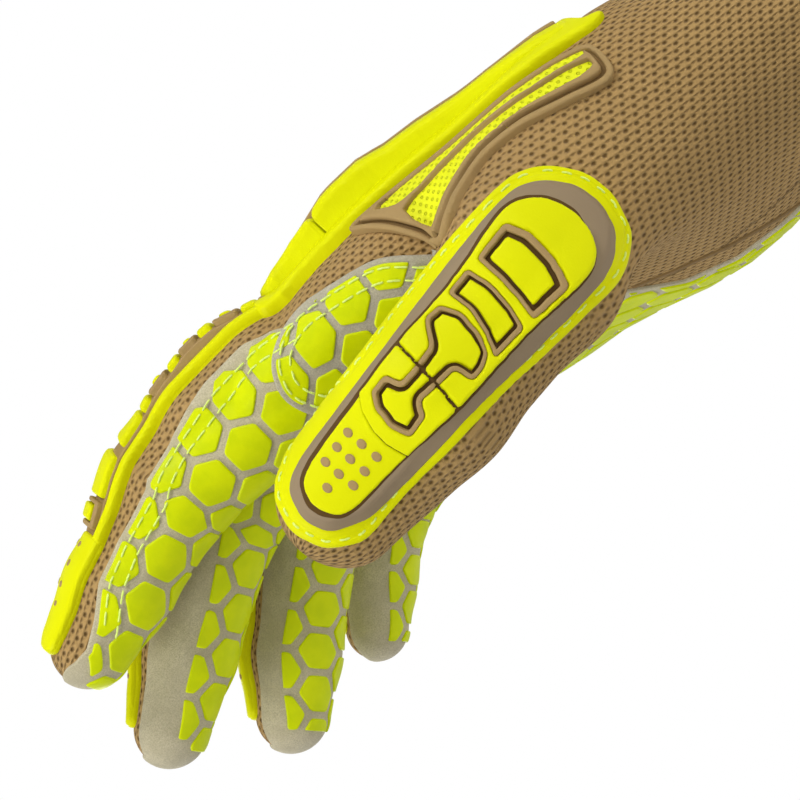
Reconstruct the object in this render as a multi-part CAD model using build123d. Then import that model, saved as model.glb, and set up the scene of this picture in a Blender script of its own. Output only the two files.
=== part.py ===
from build123d import *
import math
import os

os.makedirs("parts", exist_ok=True)

# Right-hand impact-resistant, cut-resistant work glove, standing on the hem of its cuff.
# Millimetres. Origin: centre of the cuff opening. +Z from the cuff to the fingertips,
# -Y the back of the hand, +Y the palm, -X the thumb side. Relaxed, slightly curled hand.
# Angles around a hand section run from the little-finger side (0) over the palm (90)
# and the thumb side (180) to the back (270).

# ---- shared dimensions --------------------------------------------------------------
WALL = 1.5              # knit and leather shell thickness
GAP = 0.15              # clearance between layers that are sewn together
SEAM_SHIFT = 0.05       # each half shell moves this far off the seam plane
OVERRUN = 1.0           # how far a hollowing cutter runs past each end
WRIST_Z = 60.0          # wrist crease
WRIST_GAP = 1.0         # clearance each side of the crease
WRIST_SWING = 30.0      # wrist bends this far each way, degrees
WRIST_SLOPE = math.tan(math.radians(WRIST_SWING / 2))


# ---- vectors, wires and solids ------------------------------------------------------
def perpendicular(vector, axis):
    """Unit vector: the part of vector square to the unit vector axis."""
    return (vector - axis * vector.dot(axis)).normalized()


def spaced(first, last, count):
    return [first + (last - first) * i / (count - 1) for i in range(count)]


def band_wire(outer, inner):
    """Closed planar wire: outer curve, then back along the inner curve."""
    return Wire([
        Spline(*outer).edge(),
        Line(outer[-1], inner[-1]).edge(),
        Spline(*reversed(inner)).edge(),
        Line(inner[0], outer[0]).edge(),
    ])


def closed_wire(points):
    return Wire([Spline(*points, periodic=True).edge()])


def half_wire(points):
    return Wire([Spline(*points).edge(), Line(points[-1], points[0]).edge()])


def stack(wires):
    return Solid.make_loft(wires, ruled=True)


def prism(points, sweep):
    """Closed polygon through points, extruded along the vector sweep."""
    return Solid.extrude(make_face(Polyline(*points, close=True)).face(), sweep)


def level_at(levels, z):
    """Row of a level table interpolated at height z."""
    for low, high in zip(levels, levels[1:]):
        if low[0] <= z <= high[0]:
            k = (z - low[0]) / (high[0] - low[0])
            return tuple(a + k * (b - a) for a, b in zip(low, high))


def overrun(levels):
    """The same levels with the first lowered and the last raised, for a cutter."""
    first, last = levels[0], levels[-1]
    return [(first[0] - OVERRUN, *first[1:]), *levels[1:-1], (last[0] + OVERRUN, *last[1:])]


def save(shape, name):
    shape.label = name
    export_step(shape, f"parts/{name}.step")


# ---- cuff ---------------------------------------------------------------------------
HEM_HEIGHT = 6.0
HEM_WALL = 3.4
HEM_PROUD = 0.9         # the hem stands this far outside the sleeve
HEM_TOP_GAP = 0.1
# z, half width, half thickness
CUFF_LEVELS = [
    (HEM_HEIGHT, 46.0, 30.5), (20.0, 43.5, 28.5), (34.0, 41.0, 27.0), (46.0, 39.2, 25.8),
    (WRIST_Z, 38.6, 25.2),
]
ELASTIC_Z = (36.0, 46.0)
ELASTIC_THICK = 1.2
TAB_WIDTH = 16.0
TAB_Z0, TAB_Z1 = 8.0, 34.0
TAB_THICK = 1.6
TAB_CLEAR = 0.4         # between the tab and the sleeve


def oval(level, offset):
    z, half_width, half_thick = level
    turns = [2 * math.pi * i / 16 for i in range(16)]
    return closed_wire([Vector((half_width + offset) * math.cos(turn),
                               (half_thick + offset) * math.sin(turn), z) for turn in turns])


def above_ridge(z):
    """Everything above a ridge along X at height z, falling away to palm and back."""
    foot = z - WRIST_SLOPE * 70
    outline = [(0, z), (-70, foot), (-70, z + 60), (70, z + 60), (70, foot)]
    return prism([Vector(-80, y, height) for y, height in outline], Vector(160, 0, 0))


def cuff_sleeve():
    outer = stack([oval(level, 0) for level in CUFF_LEVELS])
    inner = stack([oval(level, -WALL) for level in overrun(CUFF_LEVELS)])
    return outer - inner - above_ridge(WRIST_Z - WRIST_GAP)


def cuff_hem():
    _, width, thick = CUFF_LEVELS[0]
    bore = HEM_PROUD - HEM_WALL
    outer = stack([oval((0, width + 0.6, thick + 0.6), 0.6),
                   oval((HEM_HEIGHT - HEM_TOP_GAP, width, thick), HEM_PROUD)])
    inner = stack([oval((-OVERRUN, width + 0.7, thick + 0.7), bore),
                   oval((HEM_HEIGHT + OVERRUN, width, thick), bore)])
    return outer - inner


def elastic_band():
    """Ring inside the sleeve, just below the wrist."""
    bottom, top = ELASTIC_Z
    offset = -WALL - GAP
    outer = stack([oval(level_at(CUFF_LEVELS, z), offset) for z in (bottom, top)])
    inner = stack([oval(level_at(CUFF_LEVELS, z), offset - ELASTIC_THICK)
                   for z in (bottom - OVERRUN, top + OVERRUN)])
    return outer - inner


def pull_tab():
    """Folded strip of webbing outside the palm side of the cuff, with an open slot."""
    low, high = (level_at(CUFF_LEVELS, z)[2] + TAB_CLEAR for z in (TAB_Z0, TAB_Z1))
    # y, z of the side outline and of the slot through it
    profile = [(low, TAB_Z0), (high, TAB_Z1), (high + 1.0, TAB_Z1 + 1.5),
               (high + 3.6, TAB_Z1 + 1.5), (high + 5.4, TAB_Z1 - 1.5),
               (low + 5.6, TAB_Z0 + 4), (low + 3.2, TAB_Z0)]
    slot = [(low + TAB_THICK + 0.2, TAB_Z0 + 6), (high + TAB_THICK, TAB_Z1 - 2.5),
            (high + 3.6, TAB_Z1 - 2.5), (low + 4.2, TAB_Z0 + 7)]
    body = prism([Vector(-TAB_WIDTH / 2, y, z) for y, z in profile], Vector(TAB_WIDTH, 0, 0))
    return body - prism([Vector(-TAB_WIDTH, y, z) for y, z in slot],
                        Vector(2 * TAB_WIDTH, 0, 0))


save(cuff_sleeve(), "cuff_knit_sleeve")
save(cuff_hem(), "cuff_hem_binding")
save(elastic_band(), "wrist_elastic_band")
save(pull_tab(), "cuff_pull_tab")

# ---- fingers and thumb --------------------------------------------------------------
JOINT_GAP = 0.8         # clearance each side of a finger joint centre
GUARD = 3.2             # rubber guard height on the digits
GUARD_INSET = 0.4       # a guard stops this far short of its shell's ends

# Joint centres, half widths and half thicknesses at each, splay of the hinge (degrees),
# and how far each joint bends and straightens from this relaxed pose (degrees).
FINGERS = {
    "index": dict(
        points=[(-33, 0, 165), (-34.4, 3.4, 206.0), (-35.1, 12.5, 226.3), (-35.5, 17.7, 237.9)],
        width=[9.9, 9.9, 9.3, 8.6], thick=[12.3, 11.0, 9.7, 8.3],
        splay=-2, flex=(50, 45, 30.5), extend=(20, 25, 17)),
    "middle": dict(
        points=[(-11.5, -3, 169), (-11.5, 5.9, 207.3), (-11.5, 23.5, 229.1),
                (-11.5, 33.9, 241.0)],
        width=[9.8, 9.9, 9.2, 8.4], thick=[12.3, 10.8, 9.2, 7.6],
        splay=0, flex=(50, 45, 27.5), extend=(20, 35, 21.5)),
    "ring": dict(
        points=[(10, -2, 163), (11.3, 11.6, 199.9), (11.9, 30.9, 217.3), (12.2, 40.5, 225.0)],
        width=[9.6, 9.5, 8.9, 8.0], thick=[11.8, 10.3, 8.9, 7.6],
        splay=2, flex=(50, 38, 23.5), extend=(20, 40, 24.5)),
    "pinky": dict(
        points=[(30, 1, 154), (32.4, 10.2, 187.6), (33.2, 22.9, 199.6), (33.6, 30.9, 205.0)],
        width=[8.9, 8.7, 8.0, 7.2], thick=[10.8, 9.2, 7.9, 6.6],
        splay=4, flex=(50, 33, 20.5), extend=(20, 40, 24.5)),
}
# The thumb bends at its base and at its tip; the joint between them is held still.
THUMB = dict(
    points=[(-26, 0.5, 88.4), (-51.4, 18.9, 118.8), (-58.8, 29.6, 148.1), (-58.8, 35.4, 175.0)],
    width=[17.5, 14.5, 13.2, 12.0], thick=[15.5, 12.2, 10.2, 9.2],
    flex=(12, 0, 40), extend=(18, 0, 15))
THUMB_NORMAL = Vector(-0.94, 0.26, -0.2)    # the way the thumb's guard faces
THUMB_OPENING = Vector(-0.8, -0.45, 0.0)    # the way the thumb opens at its base
THUMB_START = 20.0                          # where its base tube starts, along the segment
THUMB_TIP = 11.5                            # length of its domed end

FINGER_GUARD_ARC = (222, 318)
THUMB_GUARD_ARC = (212, 328)
# Domed end: share of the dome's length, scale of the section
DOME = [(0.0, 1.0), (0.35, 0.95), (0.62, 0.80), (0.83, 0.57), (0.95, 0.32), (1.0, 0.12)]
# Half shells: part name, first angle, shift off the seam
HALVES = [("palm_side", 0, SEAM_SHIFT), ("knit_back", 180, -SEAM_SHIFT)]


class Segment:
    """A straight run between two joint centres, with its own frame.

    Section angles run from across (0) to palmward (90), the way the digit bends.
    """

    def __init__(self, start, end, hinge, half_widths, half_thicks):
        self.start = start
        self.length = (end - start).length
        self.along = (end - start).normalized()
        self.across = perpendicular(-hinge, self.along)
        self.palmward = self.along.cross(self.across)
        self.half_widths, self.half_thicks = half_widths, half_thicks

    def point(self, distance, angle, offset, tilt=0.0, scale=1.0, shift=0.0):
        """Point of the section; tilt leans its palm and back sides along the segment."""
        k = min(max(distance / self.length, 0), 1)
        half_width, half_thick = (low + k * (high - low)
                                  for low, high in (self.half_widths, self.half_thicks))
        sideways = (half_width * scale + offset) * math.cos(math.radians(angle))
        depth = (half_thick * scale + offset) * math.sin(math.radians(angle)) + shift
        forward = distance + math.tan(math.radians(tilt)) * abs(depth)
        return (self.start + self.along * forward + self.across * sideways
                + self.palmward * depth)

    def band(self, distance, arc, inner, outer, tilt=0.0, scale=1.0, shift=0.0):
        """Section of a layer over an arc, between two offsets from the surface."""
        outer_points, inner_points = (
            [self.point(distance, angle, offset, tilt, scale, shift)
             for angle in spaced(*arc, 9)] for offset in (outer, inner))
        return band_wire(outer_points, inner_points)

    def piece(self, arc, inner, outer, start, start_tilt, end, end_tilt, shift=0.0):
        return stack([self.band(start, arc, inner, outer, start_tilt, shift=shift),
                      self.band(end, arc, inner, outer, -end_tilt, shift=shift)])

    def ring(self, distance, offset, scale=1.0):
        return closed_wire([self.point(distance, 360 * i / 16, offset, scale=scale)
                            for i in range(16)])

    def half(self, distance, first_angle, shift, tilt=0.0, scale=1.0):
        return half_wire([self.point(distance, angle, 0, tilt, scale, shift)
                          for angle in spaced(first_angle, first_angle + 180, 9)])


def digit_segments(digit, hinge):
    points = [Vector(*point) for point in digit["points"]]
    return [Segment(points[i], points[i + 1], hinge,
                    digit["width"][i:i + 2], digit["thick"][i:i + 2]) for i in range(3)]


def bend(before, after):
    """Angle from one segment to the next, positive towards the palm."""
    return math.degrees(math.atan2(after.along.dot(before.palmward),
                                   after.along.dot(before.along)))


def joint_tilts(angle, flex, extend):
    """Bevels on the palm and back sides that leave room for a joint's travel."""
    if angle is None:
        return 0.0, 0.0
    return max(0.0, (angle + flex) / 2), max(0.0, (extend - angle) / 2)


def tip_shell(segment, start, tilt, tip_length, first_angle, shift):
    """Half of the domed end of a digit."""
    length = segment.length
    wires = [segment.half(start, first_angle, shift, tilt)]
    hollow = [segment.ring(start - 6, -WALL)]
    for share, scale in DOME:
        wires.append(segment.half(length + share * tip_length, first_angle, shift, scale=scale))
        hollow.append(segment.ring(length + share * (tip_length - WALL), -WALL * scale, scale))
    return stack(wires) - stack(hollow)


def tip_guard(segment, start, tilt, tip_length, arc):
    """Guard over the tip segment and half of its dome, where it narrows."""
    narrow = (arc[0] + 5, arc[1] - 5)
    return stack([
        segment.band(start + GUARD_INSET, arc, GAP, GUARD, tilt),
        segment.band(segment.length, arc, GAP, GUARD),
        segment.band(segment.length + 0.5 * tip_length, narrow, GAP + 0.25, GUARD - 0.6,
                     scale=0.9),
    ])


def build_digit(name, digit, segments, first_bend, tip_length, part_names,
                first_start=JOINT_GAP, guard_arc=FINGER_GUARD_ARC):
    """Shell halves and guard of each segment; first_bend None leaves its start square."""
    bends = [first_bend] + [bend(a, b) for a, b in zip(segments, segments[1:])]
    tilts = [joint_tilts(*joint) for joint in zip(bends, digit["flex"], digit["extend"])]
    for i, segment in enumerate(segments):
        start = JOINT_GAP if i else first_start
        end = segment.length - JOINT_GAP
        is_tip = i == len(segments) - 1
        for side, (half_name, angle, shift) in enumerate(HALVES):
            if is_tip:
                shell = tip_shell(segment, start, tilts[i][side], tip_length, angle, shift)
            else:
                shell = segment.piece((angle, angle + 180), -WALL, 0, start, tilts[i][side],
                                      end, tilts[i + 1][side], shift)
            save(shell, f"{name}_{part_names[i]}_{half_name}")
        back_tilt = tilts[i][1]
        if is_tip:
            guard = tip_guard(segment, start, back_tilt, tip_length, guard_arc)
        else:
            guard = segment.piece(guard_arc, GAP, GUARD, start + GUARD_INSET, back_tilt,
                                  end - GUARD_INSET, tilts[i + 1][1])
        save(guard, f"{name}_{part_names[i]}_guard")


def build_finger(name, finger):
    splay = math.radians(finger["splay"])
    hinge = Vector(-math.cos(splay), 0.0, math.sin(splay))
    segments = digit_segments(finger, hinge)
    along = segments[0].along
    first_bend = math.degrees(math.atan2(along.Y, along.Z))
    build_digit(name, finger, segments, first_bend, finger["thick"][3],
                ["proximal", "middle", "tip"])


def thumb_segments():
    along = (Vector(*THUMB["points"][3]) - Vector(*THUMB["points"][1])).normalized()
    # Turning about this hinge bends the thumb towards the palm.
    return digit_segments(THUMB, perpendicular(THUMB_NORMAL, along).cross(along))


def thumb_room(segments):
    """Space the thumb needs in the side of the hand over its whole swing at its base."""
    base, middle = segments[:2]
    base_axis = base.along.cross(perpendicular(THUMB_OPENING, base.along))
    swing = Axis(base.start, base_axis)     # a positive turn opens the thumb
    room = None
    for turn in (-THUMB["flex"][0], -7.5, 0.0, 6.0, 12.0, THUMB["extend"][0]):
        base_tube = stack([base.ring(THUMB_START - 7, 2.0), base.ring(base.length + 3, 2.0)])
        middle_tube = stack([middle.ring(-8, 1.6), middle.ring(middle.length * 0.8, 1.6)])
        tubes = (base_tube + middle_tube).rotate(swing, turn)
        room = tubes if room is None else room + tubes
    return room


for finger_name, finger_sizes in FINGERS.items():
    build_finger(finger_name, finger_sizes)

thumb = thumb_segments()
build_digit("thumb", THUMB, thumb, None, THUMB_TIP, ["base", "proximal", "tip"],
            first_start=THUMB_START, guard_arc=THUMB_GUARD_ARC)
room = thumb_room(thumb)

# ---- hand ---------------------------------------------------------------------------
LINER = 0.8             # cut-resistant inner liner thickness
LINER_GAP = 0.4         # between shell and liner
POWER = 2.4             # superellipse power of the hand's section
# z, centre x, seam y, half width, back half thickness, palm half thickness
WRIST_LEVEL = (WRIST_Z + WRIST_GAP, -0.2, 0.0, 38.6, 25.0, 25.0)
HAND_LEVELS = [
    (74.0, -0.4, 0.4, 40.0, 24.6, 24.6),
    (84.0, -0.9, 0.8, 42.6, 24.2, 25.0),
    (94.0, -1.3, 1.0, 44.6, 23.4, 25.2),
    (104.0, -1.5, 1.0, 45.8, 22.6, 24.2),
    (114.0, -1.5, 0.8, 46.4, 21.6, 22.2),
    (124.0, -1.5, 0.4, 46.6, 20.4, 20.0),
    (134.0, -1.5, -0.2, 46.4, 19.0, 18.4),
    (144.0, -1.5, -0.9, 46.0, 17.4, 17.4),
    (156.0, -1.5, -1.6, 45.2, 15.6, 16.6),
    (168.0, -1.5, -2.0, 44.0, 14.2, 15.8),
]
# x, z of the line across the knuckles
KNUCKLE_LINE = [(-70, 165), (-43, 165), (-22, 167), (-1, 165), (20, 157.5), (40, 152),
                (70, 150)]
# How far below that line each layer stops
BACK_DROP, PALM_DROP, LINER_DROP = 4.5, 8.0, 9.0

BACK_GUARD = 4.6        # rubber guard height on the back of the hand
# Guard over each metacarpal: name, bottom z, top z, arc at the bottom, arc at the top
BACK_GUARDS = [
    ("index", 84, 158, (214, 240), (216, 243)),
    ("middle", 92, 160, (246, 264), (249, 269)),
    ("ring", 92, 156, (270, 288), (275, 294)),
    ("pinky", 88, 148, (294, 318), (300, 324)),
]
VENT_Z0, VENT_Z1 = 86.0, 148.0
VENT_HEIGHT = 2.6
VENT_BORDER = 5.0       # frame left above and below the windows
MESH_HEIGHT = 1.2
MESH_INSET_Z = 0.2      # mesh clearance in its window, top and bottom
MESH_INSET_ANGLE = 0.4  # and on each side, degrees
# Windows: arc at the bottom, arc at the top
VENT_WINDOWS = [((198.4, 203.6), (190, 199)), ((205.4, 209.8), (201.5, 210))]


def hand_point(level, angle, offset, shift=0.0):
    z, centre_x, seam_y, half_width, back, palm = level
    cosine, sine = math.cos(math.radians(angle)), math.sin(math.radians(angle))
    half_thick = palm if sine >= 0 else back
    return Vector(
        centre_x + (half_width + offset) * math.copysign(abs(cosine) ** (2 / POWER), cosine),
        seam_y + shift + (half_thick + offset) * math.copysign(abs(sine) ** (2 / POWER), sine),
        z)


def hand_half(first_angle, shift):
    """Half of the hand's shell, from the bevelled wrist to past the knuckles."""
    wires = []
    for level in [WRIST_LEVEL] + HAND_LEVELS:
        outer, inner = ([hand_point(level, angle, offset, shift)
                         for angle in spaced(first_angle, first_angle + 180, 11)]
                        for offset in (0, -WALL))
        if level is WRIST_LEVEL:
            outer, inner = ([p + Vector(0, 0, WRIST_SLOPE * abs(p.Y)) for p in points]
                            for points in (outer, inner))
        wires.append(band_wire(outer, inner))
    return stack(wires)


def hand_pad(bottom, top, arc, inner, outer, top_arc=None):
    """A pad on the hand between two heights; its arc may change towards the top."""
    top_arc = top_arc or arc
    levels = [level_at(HAND_LEVELS, bottom)]
    levels += [level for level in HAND_LEVELS if bottom + 0.5 < level[0] < top - 0.5]
    levels.append(level_at(HAND_LEVELS, top))
    wires = []
    for level in levels:
        k = (level[0] - bottom) / (top - bottom)
        low, high = (a + k * (b - a) for a, b in zip(arc, top_arc))
        outer_points, inner_points = (
            [hand_point(level, angle, offset) for angle in spaced(low, high, 5)]
            for offset in (outer, inner))
        wires.append(band_wire(outer_points, inner_points))
    return stack(wires)


def knuckle_cut(drop):
    """Everything past the knuckle line, dropped a little towards the wrist."""
    outline = [(x, z - drop) for x, z in KNUCKLE_LINE] + [(70, 260), (-70, 260)]
    return prism([Vector(x, -60, z) for x, z in outline], Vector(0, 120, 0))


def hand_tube(levels, offset):
    return stack([closed_wire([hand_point(level, 360 * i / 20, offset) for i in range(20)])
                  for level in levels])


def cut_liner():
    offset = -WALL - LINER_GAP
    liner = hand_tube(HAND_LEVELS, offset) - hand_tube(overrun(HAND_LEVELS), offset - LINER)
    return liner - knuckle_cut(LINER_DROP) - room


def vent_frame():
    """Rubber frame on the thumb side of the back, with two open windows."""
    frame = hand_pad(VENT_Z0, VENT_Z1, (196, 212), GAP, VENT_HEIGHT, (186, 213))
    for arc, top_arc in VENT_WINDOWS:
        frame = frame - hand_pad(VENT_Z0 + VENT_BORDER, VENT_Z1 - VENT_BORDER,
                                 arc, -1.0, 6.0, top_arc)
    return frame - room


def vent_mesh():
    """A thin strip low in each window."""
    border = VENT_BORDER + MESH_INSET_Z
    strips = []
    for arcs in VENT_WINDOWS:
        arc, top_arc = ((low + MESH_INSET_ANGLE, high - MESH_INSET_ANGLE) for low, high in arcs)
        strips.append(hand_pad(VENT_Z0 + border, VENT_Z1 - border,
                               arc, GAP, MESH_HEIGHT, top_arc) - room)
    return Compound(children=strips)


save(hand_half(180, -SEAM_SHIFT) - knuckle_cut(BACK_DROP) - room, "hand_back_knit")
save(hand_half(0, SEAM_SHIFT) - knuckle_cut(PALM_DROP) - room, "palm_leather")
save(cut_liner(), "cut_liner")
for guard_name, guard_z0, guard_z1, guard_base, guard_top in BACK_GUARDS:
    save(hand_pad(guard_z0, guard_z1, guard_base, GAP, BACK_GUARD, guard_top),
         f"back_guard_{guard_name}")
save(vent_frame(), "side_vent_frame")
save(vent_mesh(), "side_vent_mesh")
save(hand_pad(137, 155, arc=(128, 184), inner=GAP, outer=1.4) - room, "thumb_crotch_patch")
save(hand_pad(76, 112, arc=(22, 88), inner=GAP, outer=2.6), "palm_heel_patch")
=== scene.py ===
# A knit work glove with a leather palm and moulded rubber guards, built around its CAD frame.
# The cuff opens at z = 0 and the fingers point up +Z. The palm faces +Y, the back of the hand
# faces -Y and the thumb is on the -X side. Lengths are millimetres until a mesh is handed to
# Blender, which is in metres.
#
# Flat patterns are drawn in (S, W): S runs along the hand (there it is z) or along a digit, and
# W around it, 0 at the middle of the back and positive towards the thumb side.
# A "field" is a signed distance at every vertex, positive inside the shape it describes.
import math
import bpy
import numpy as np
from mathutils import Matrix, Vector


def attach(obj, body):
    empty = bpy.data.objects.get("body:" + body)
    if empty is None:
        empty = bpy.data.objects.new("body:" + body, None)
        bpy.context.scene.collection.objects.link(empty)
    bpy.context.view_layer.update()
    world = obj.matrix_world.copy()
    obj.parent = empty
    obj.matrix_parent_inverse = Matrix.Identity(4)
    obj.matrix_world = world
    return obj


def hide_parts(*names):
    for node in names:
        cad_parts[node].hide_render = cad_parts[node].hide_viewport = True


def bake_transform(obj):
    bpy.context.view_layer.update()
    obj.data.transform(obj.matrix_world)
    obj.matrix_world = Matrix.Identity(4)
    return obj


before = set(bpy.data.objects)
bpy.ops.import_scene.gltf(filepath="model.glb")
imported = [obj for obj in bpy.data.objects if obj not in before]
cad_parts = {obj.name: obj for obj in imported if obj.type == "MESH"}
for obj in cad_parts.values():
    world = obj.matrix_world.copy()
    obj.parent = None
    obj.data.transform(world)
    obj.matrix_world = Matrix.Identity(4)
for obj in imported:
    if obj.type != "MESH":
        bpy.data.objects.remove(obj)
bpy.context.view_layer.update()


# ------------------------------------------------------------------ small maths
def unit(vector):
    vector = np.asarray(vector, float)
    return vector / np.linalg.norm(vector)


def unit_rows(rows, tiny=1e-9):
    return rows / (np.linalg.norm(rows, axis=1)[:, None] + tiny)


def ease(low, high, value):
    """Smooth step from 0 at low to 1 at high."""
    t = np.clip((value - low) / (high - low), 0, 1)
    return t * t * (3 - 2 * t)


def soft_min(one, two, width):
    """Minimum of two distances, with the crease between them rounded over a width."""
    mix = np.clip(0.5 + 0.5 * (two - one) / width, 0, 1)
    return two + (one - two) * mix - width * mix * (1 - mix)


def track(along, stations):
    """Value at each place along a run of (place, value) stations."""
    table = np.array(stations, float)
    return np.interp(along, table[:, 0], table[:, 1])


ANGLES = np.linspace(-math.pi, math.pi, 721)    # 0 at the back, +90 degrees on the thumb side


def arc_table(x, y):
    """Distance run along a section's outline from angle 0, at each of ANGLES."""
    run = np.concatenate([[0], np.cumsum(np.hypot(np.diff(x), np.diff(y)))])
    return run - np.interp(0, ANGLES, run)


# ------------------------------------------------------------------ the hand form
class Bone:
    """A straight run of a digit: an elliptical, tapered, round-ended form with its own frame."""

    def __init__(self, start, end, hinge, widths, depths):
        self.start, self.end = np.array(start, float), np.array(end, float)
        self.length = float(np.linalg.norm(self.end - self.start))
        self.along = (self.end - self.start) / self.length
        side = -np.array(hinge, float)
        self.side = unit(side - side.dot(self.along) * self.along)
        self.palm = np.cross(self.along, self.side)
        if self.palm.dot(np.cross(hinge, self.along)) < 0:
            self.palm = -self.palm
        self.widths, self.depths = widths, depths      # half sizes at the start and the end
        self.start_size = widths[0] + depths[0]
        self.arc = arc_table(np.sin(ANGLES) * widths[0], np.cos(ANGLES) * depths[0])

    def local(self, points):
        offset = points - self.start
        return offset @ self.along, offset @ self.side, offset @ self.palm

    def size_at(self, along):
        k = np.clip(along / self.length, 0, 1)
        return (self.widths[0] + k * (self.widths[1] - self.widths[0]),
                self.depths[0] + k * (self.depths[1] - self.depths[0]))

    def dist(self, points):
        along, side, palm = self.local(points)
        width, depth = self.size_at(along)
        past = np.where(along < 0, along, np.maximum(along - self.length, 0))
        cap = (width + depth) * 0.5
        ratio = np.sqrt((side / width) ** 2 + (palm / depth) ** 2 + (past / cap) ** 2) + 1e-4
        return np.sqrt(side * side + palm * palm + past * past + 1e-8) * (1 - 1 / ratio)


# Joints from knuckle to tip, half widths and half depths at each, and splay in degrees
FINGER_FORM = {
    "index": dict(
        joints=[(-33, 0, 165), (-34.4, 3.4, 206.0), (-35.1, 12.5, 226.3), (-35.5, 17.7, 237.9)],
        widths=[10.4, 10.2, 9.5, 8.4], depths=[12.4, 10.8, 9.2, 7.7], splay=-2),
    "middle": dict(
        joints=[(-11.5, -3, 169), (-11.5, 5.9, 207.3), (-11.5, 23.5, 229.1), (-11.5, 33.9, 241.0)],
        widths=[10.4, 10.2, 9.3, 8.0], depths=[12.4, 10.9, 9.1, 7.2], splay=0),
    "ring": dict(
        joints=[(10, -2, 163), (11.3, 11.6, 199.9), (11.9, 30.9, 217.3), (12.2, 40.5, 225.0)],
        widths=[10.2, 9.9, 9.0, 7.8], depths=[12.0, 10.4, 8.8, 7.2], splay=2),
    "pinky": dict(
        joints=[(30, 1, 154), (32.4, 10.2, 187.6), (33.2, 22.9, 199.6), (33.6, 30.9, 205.0)],
        widths=[9.6, 9.1, 8.1, 6.9], depths=[11.2, 9.3, 7.8, 6.3], splay=4),
}
FINGERS = list(FINGER_FORM)
DIGITS = FINGERS + ["thumb"]
THUMB_JOINTS = [np.array(p, float) for p in
                ((-26, 0.5, 88.4), (-51.4, 18.9, 118.8), (-58.8, 29.6, 148.1), (-58.8, 35.4, 175.0))]
THUMB_WIDTHS = (17.5, 15.8, 13.6, 12.3)
THUMB_DEPTHS = (15.0, 12.4, 10.6, 9.4)
THUMB_FACING = np.array([-0.94, 0.26, -0.2])


def make_bones(joints, hinge, widths, depths):
    return [Bone(joints[i], joints[i + 1], hinge, widths[i:i + 2], depths[i:i + 2])
            for i in range(3)]


BONES = {}
for finger, form in FINGER_FORM.items():
    splay = math.radians(form["splay"])
    BONES[finger] = make_bones(form["joints"], np.array([-math.cos(splay), 0.0, math.sin(splay)]),
                               form["widths"], form["depths"])
thumb_along = unit(THUMB_JOINTS[3] - THUMB_JOINTS[1])
thumb_facing = unit(THUMB_FACING - THUMB_FACING.dot(thumb_along) * thumb_along)
THUMB_HINGE = np.cross(thumb_facing, thumb_along)
BONES["thumb"] = make_bones(THUMB_JOINTS, THUMB_HINGE, THUMB_WIDTHS, THUMB_DEPTHS)
# The thumb without the part of its first bone that lies inside the hand
root = BONES["thumb"][0]
THUMB_FREE = [Bone(root.start + 12 * root.along, root.end, THUMB_HINGE, (16.8, 15.0),
                   (14.3, 12.4))] + BONES["thumb"][1:]

# Sections of the hand: z, centre x, centre y, half width, depth to the back, depth to the palm,
# and the power of the superellipse
HAND_SECTIONS = np.array([
    (-8, 0, 0, 46.8, 31.2, 31.2, 2.0), (6, 0, 0, 46.0, 30.5, 30.5, 2.0),
    (20, 0, 0, 43.5, 28.5, 28.5, 2.0), (34, 0, 0, 41.0, 27.0, 27.0, 2.05),
    (46, 0, 0, 39.2, 25.8, 25.8, 2.1), (60, -0.1, 0, 38.6, 25.2, 24.4, 2.2),
    (74, -0.4, 0.4, 40.0, 24.6, 23.2, 2.3), (84, -0.9, 0.8, 42.6, 24.0, 23.8, 2.4),
    (94, -1.3, 1.0, 44.6, 23.0, 23.6, 2.4), (104, -1.5, 1.0, 45.8, 22.8, 21.8, 2.4),
    (114, -1.5, 0.8, 46.4, 23.2, 19.2, 2.3), (124, -1.5, 0.4, 46.6, 23.6, 17.6, 2.2),
    (134, -1.5, -0.2, 46.4, 22.4, 17.8, 2.2), (144, -1.5, -0.9, 46.0, 20.6, 17.6, 2.25),
    (156, -1.5, -1.6, 45.2, 17.0, 16.3, 2.35), (164, -1.5, -1.8, 44.4, 13.8, 14.4, 2.4),
    (172, -1.5, -1.8, 43.6, 11.0, 11.6, 2.4), (179, -1.5, -1.8, 43.0, 7.6, 8.2, 2.4),
    (184, -1.5, -1.8, 42.6, 5.0, 5.4, 2.4)], float).T
# Height of the knuckle line across the hand: x, z
KNUCKLE_LINE = [(-60, 163), (-45, 163.5), (-33, 165), (-11.5, 169), (10, 163), (30, 154),
                (42, 150), (60, 148)]
INDEX_KNUCKLE_Z = 165
WEB_Z = 181.0        # the web between the fingers, on the index finger's scale


def web_depth(points):
    """How far the web follows the fingers towards the palm past the knuckles."""
    roots = [BONES[f][0] for f in FINGERS]
    x = points[:, 0]
    xs = [b.start[0] for b in roots]
    ys = [b.start[1] + (points[:, 2] - b.start[2]) * b.along[1] / b.along[2] for b in roots]
    spans = [ys[i] + (ys[i + 1] - ys[i]) * np.clip((x - xs[i]) / (xs[i + 1] - xs[i]), 0, 1)
             for i in range(3)]
    return np.where(x < xs[1], spans[0], np.where(x < xs[2], spans[1], spans[2]))


def hand_section(points):
    """The section at each point; its height is shifted so that the knuckles come level."""
    level = ease(128, 156, points[:, 2])
    z = points[:, 2] + (INDEX_KNUCKLE_Z - track(points[:, 0], KNUCKLE_LINE)) * level
    centre_x, centre_y, half, back, palm, power = (
        np.interp(z, HAND_SECTIONS[0], column) for column in HAND_SECTIONS[1:])
    centre_y = centre_y + ease(158, 172, z) * (web_depth(points) - centre_y)
    return z, centre_x, centre_y, half, back, palm, power


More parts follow.
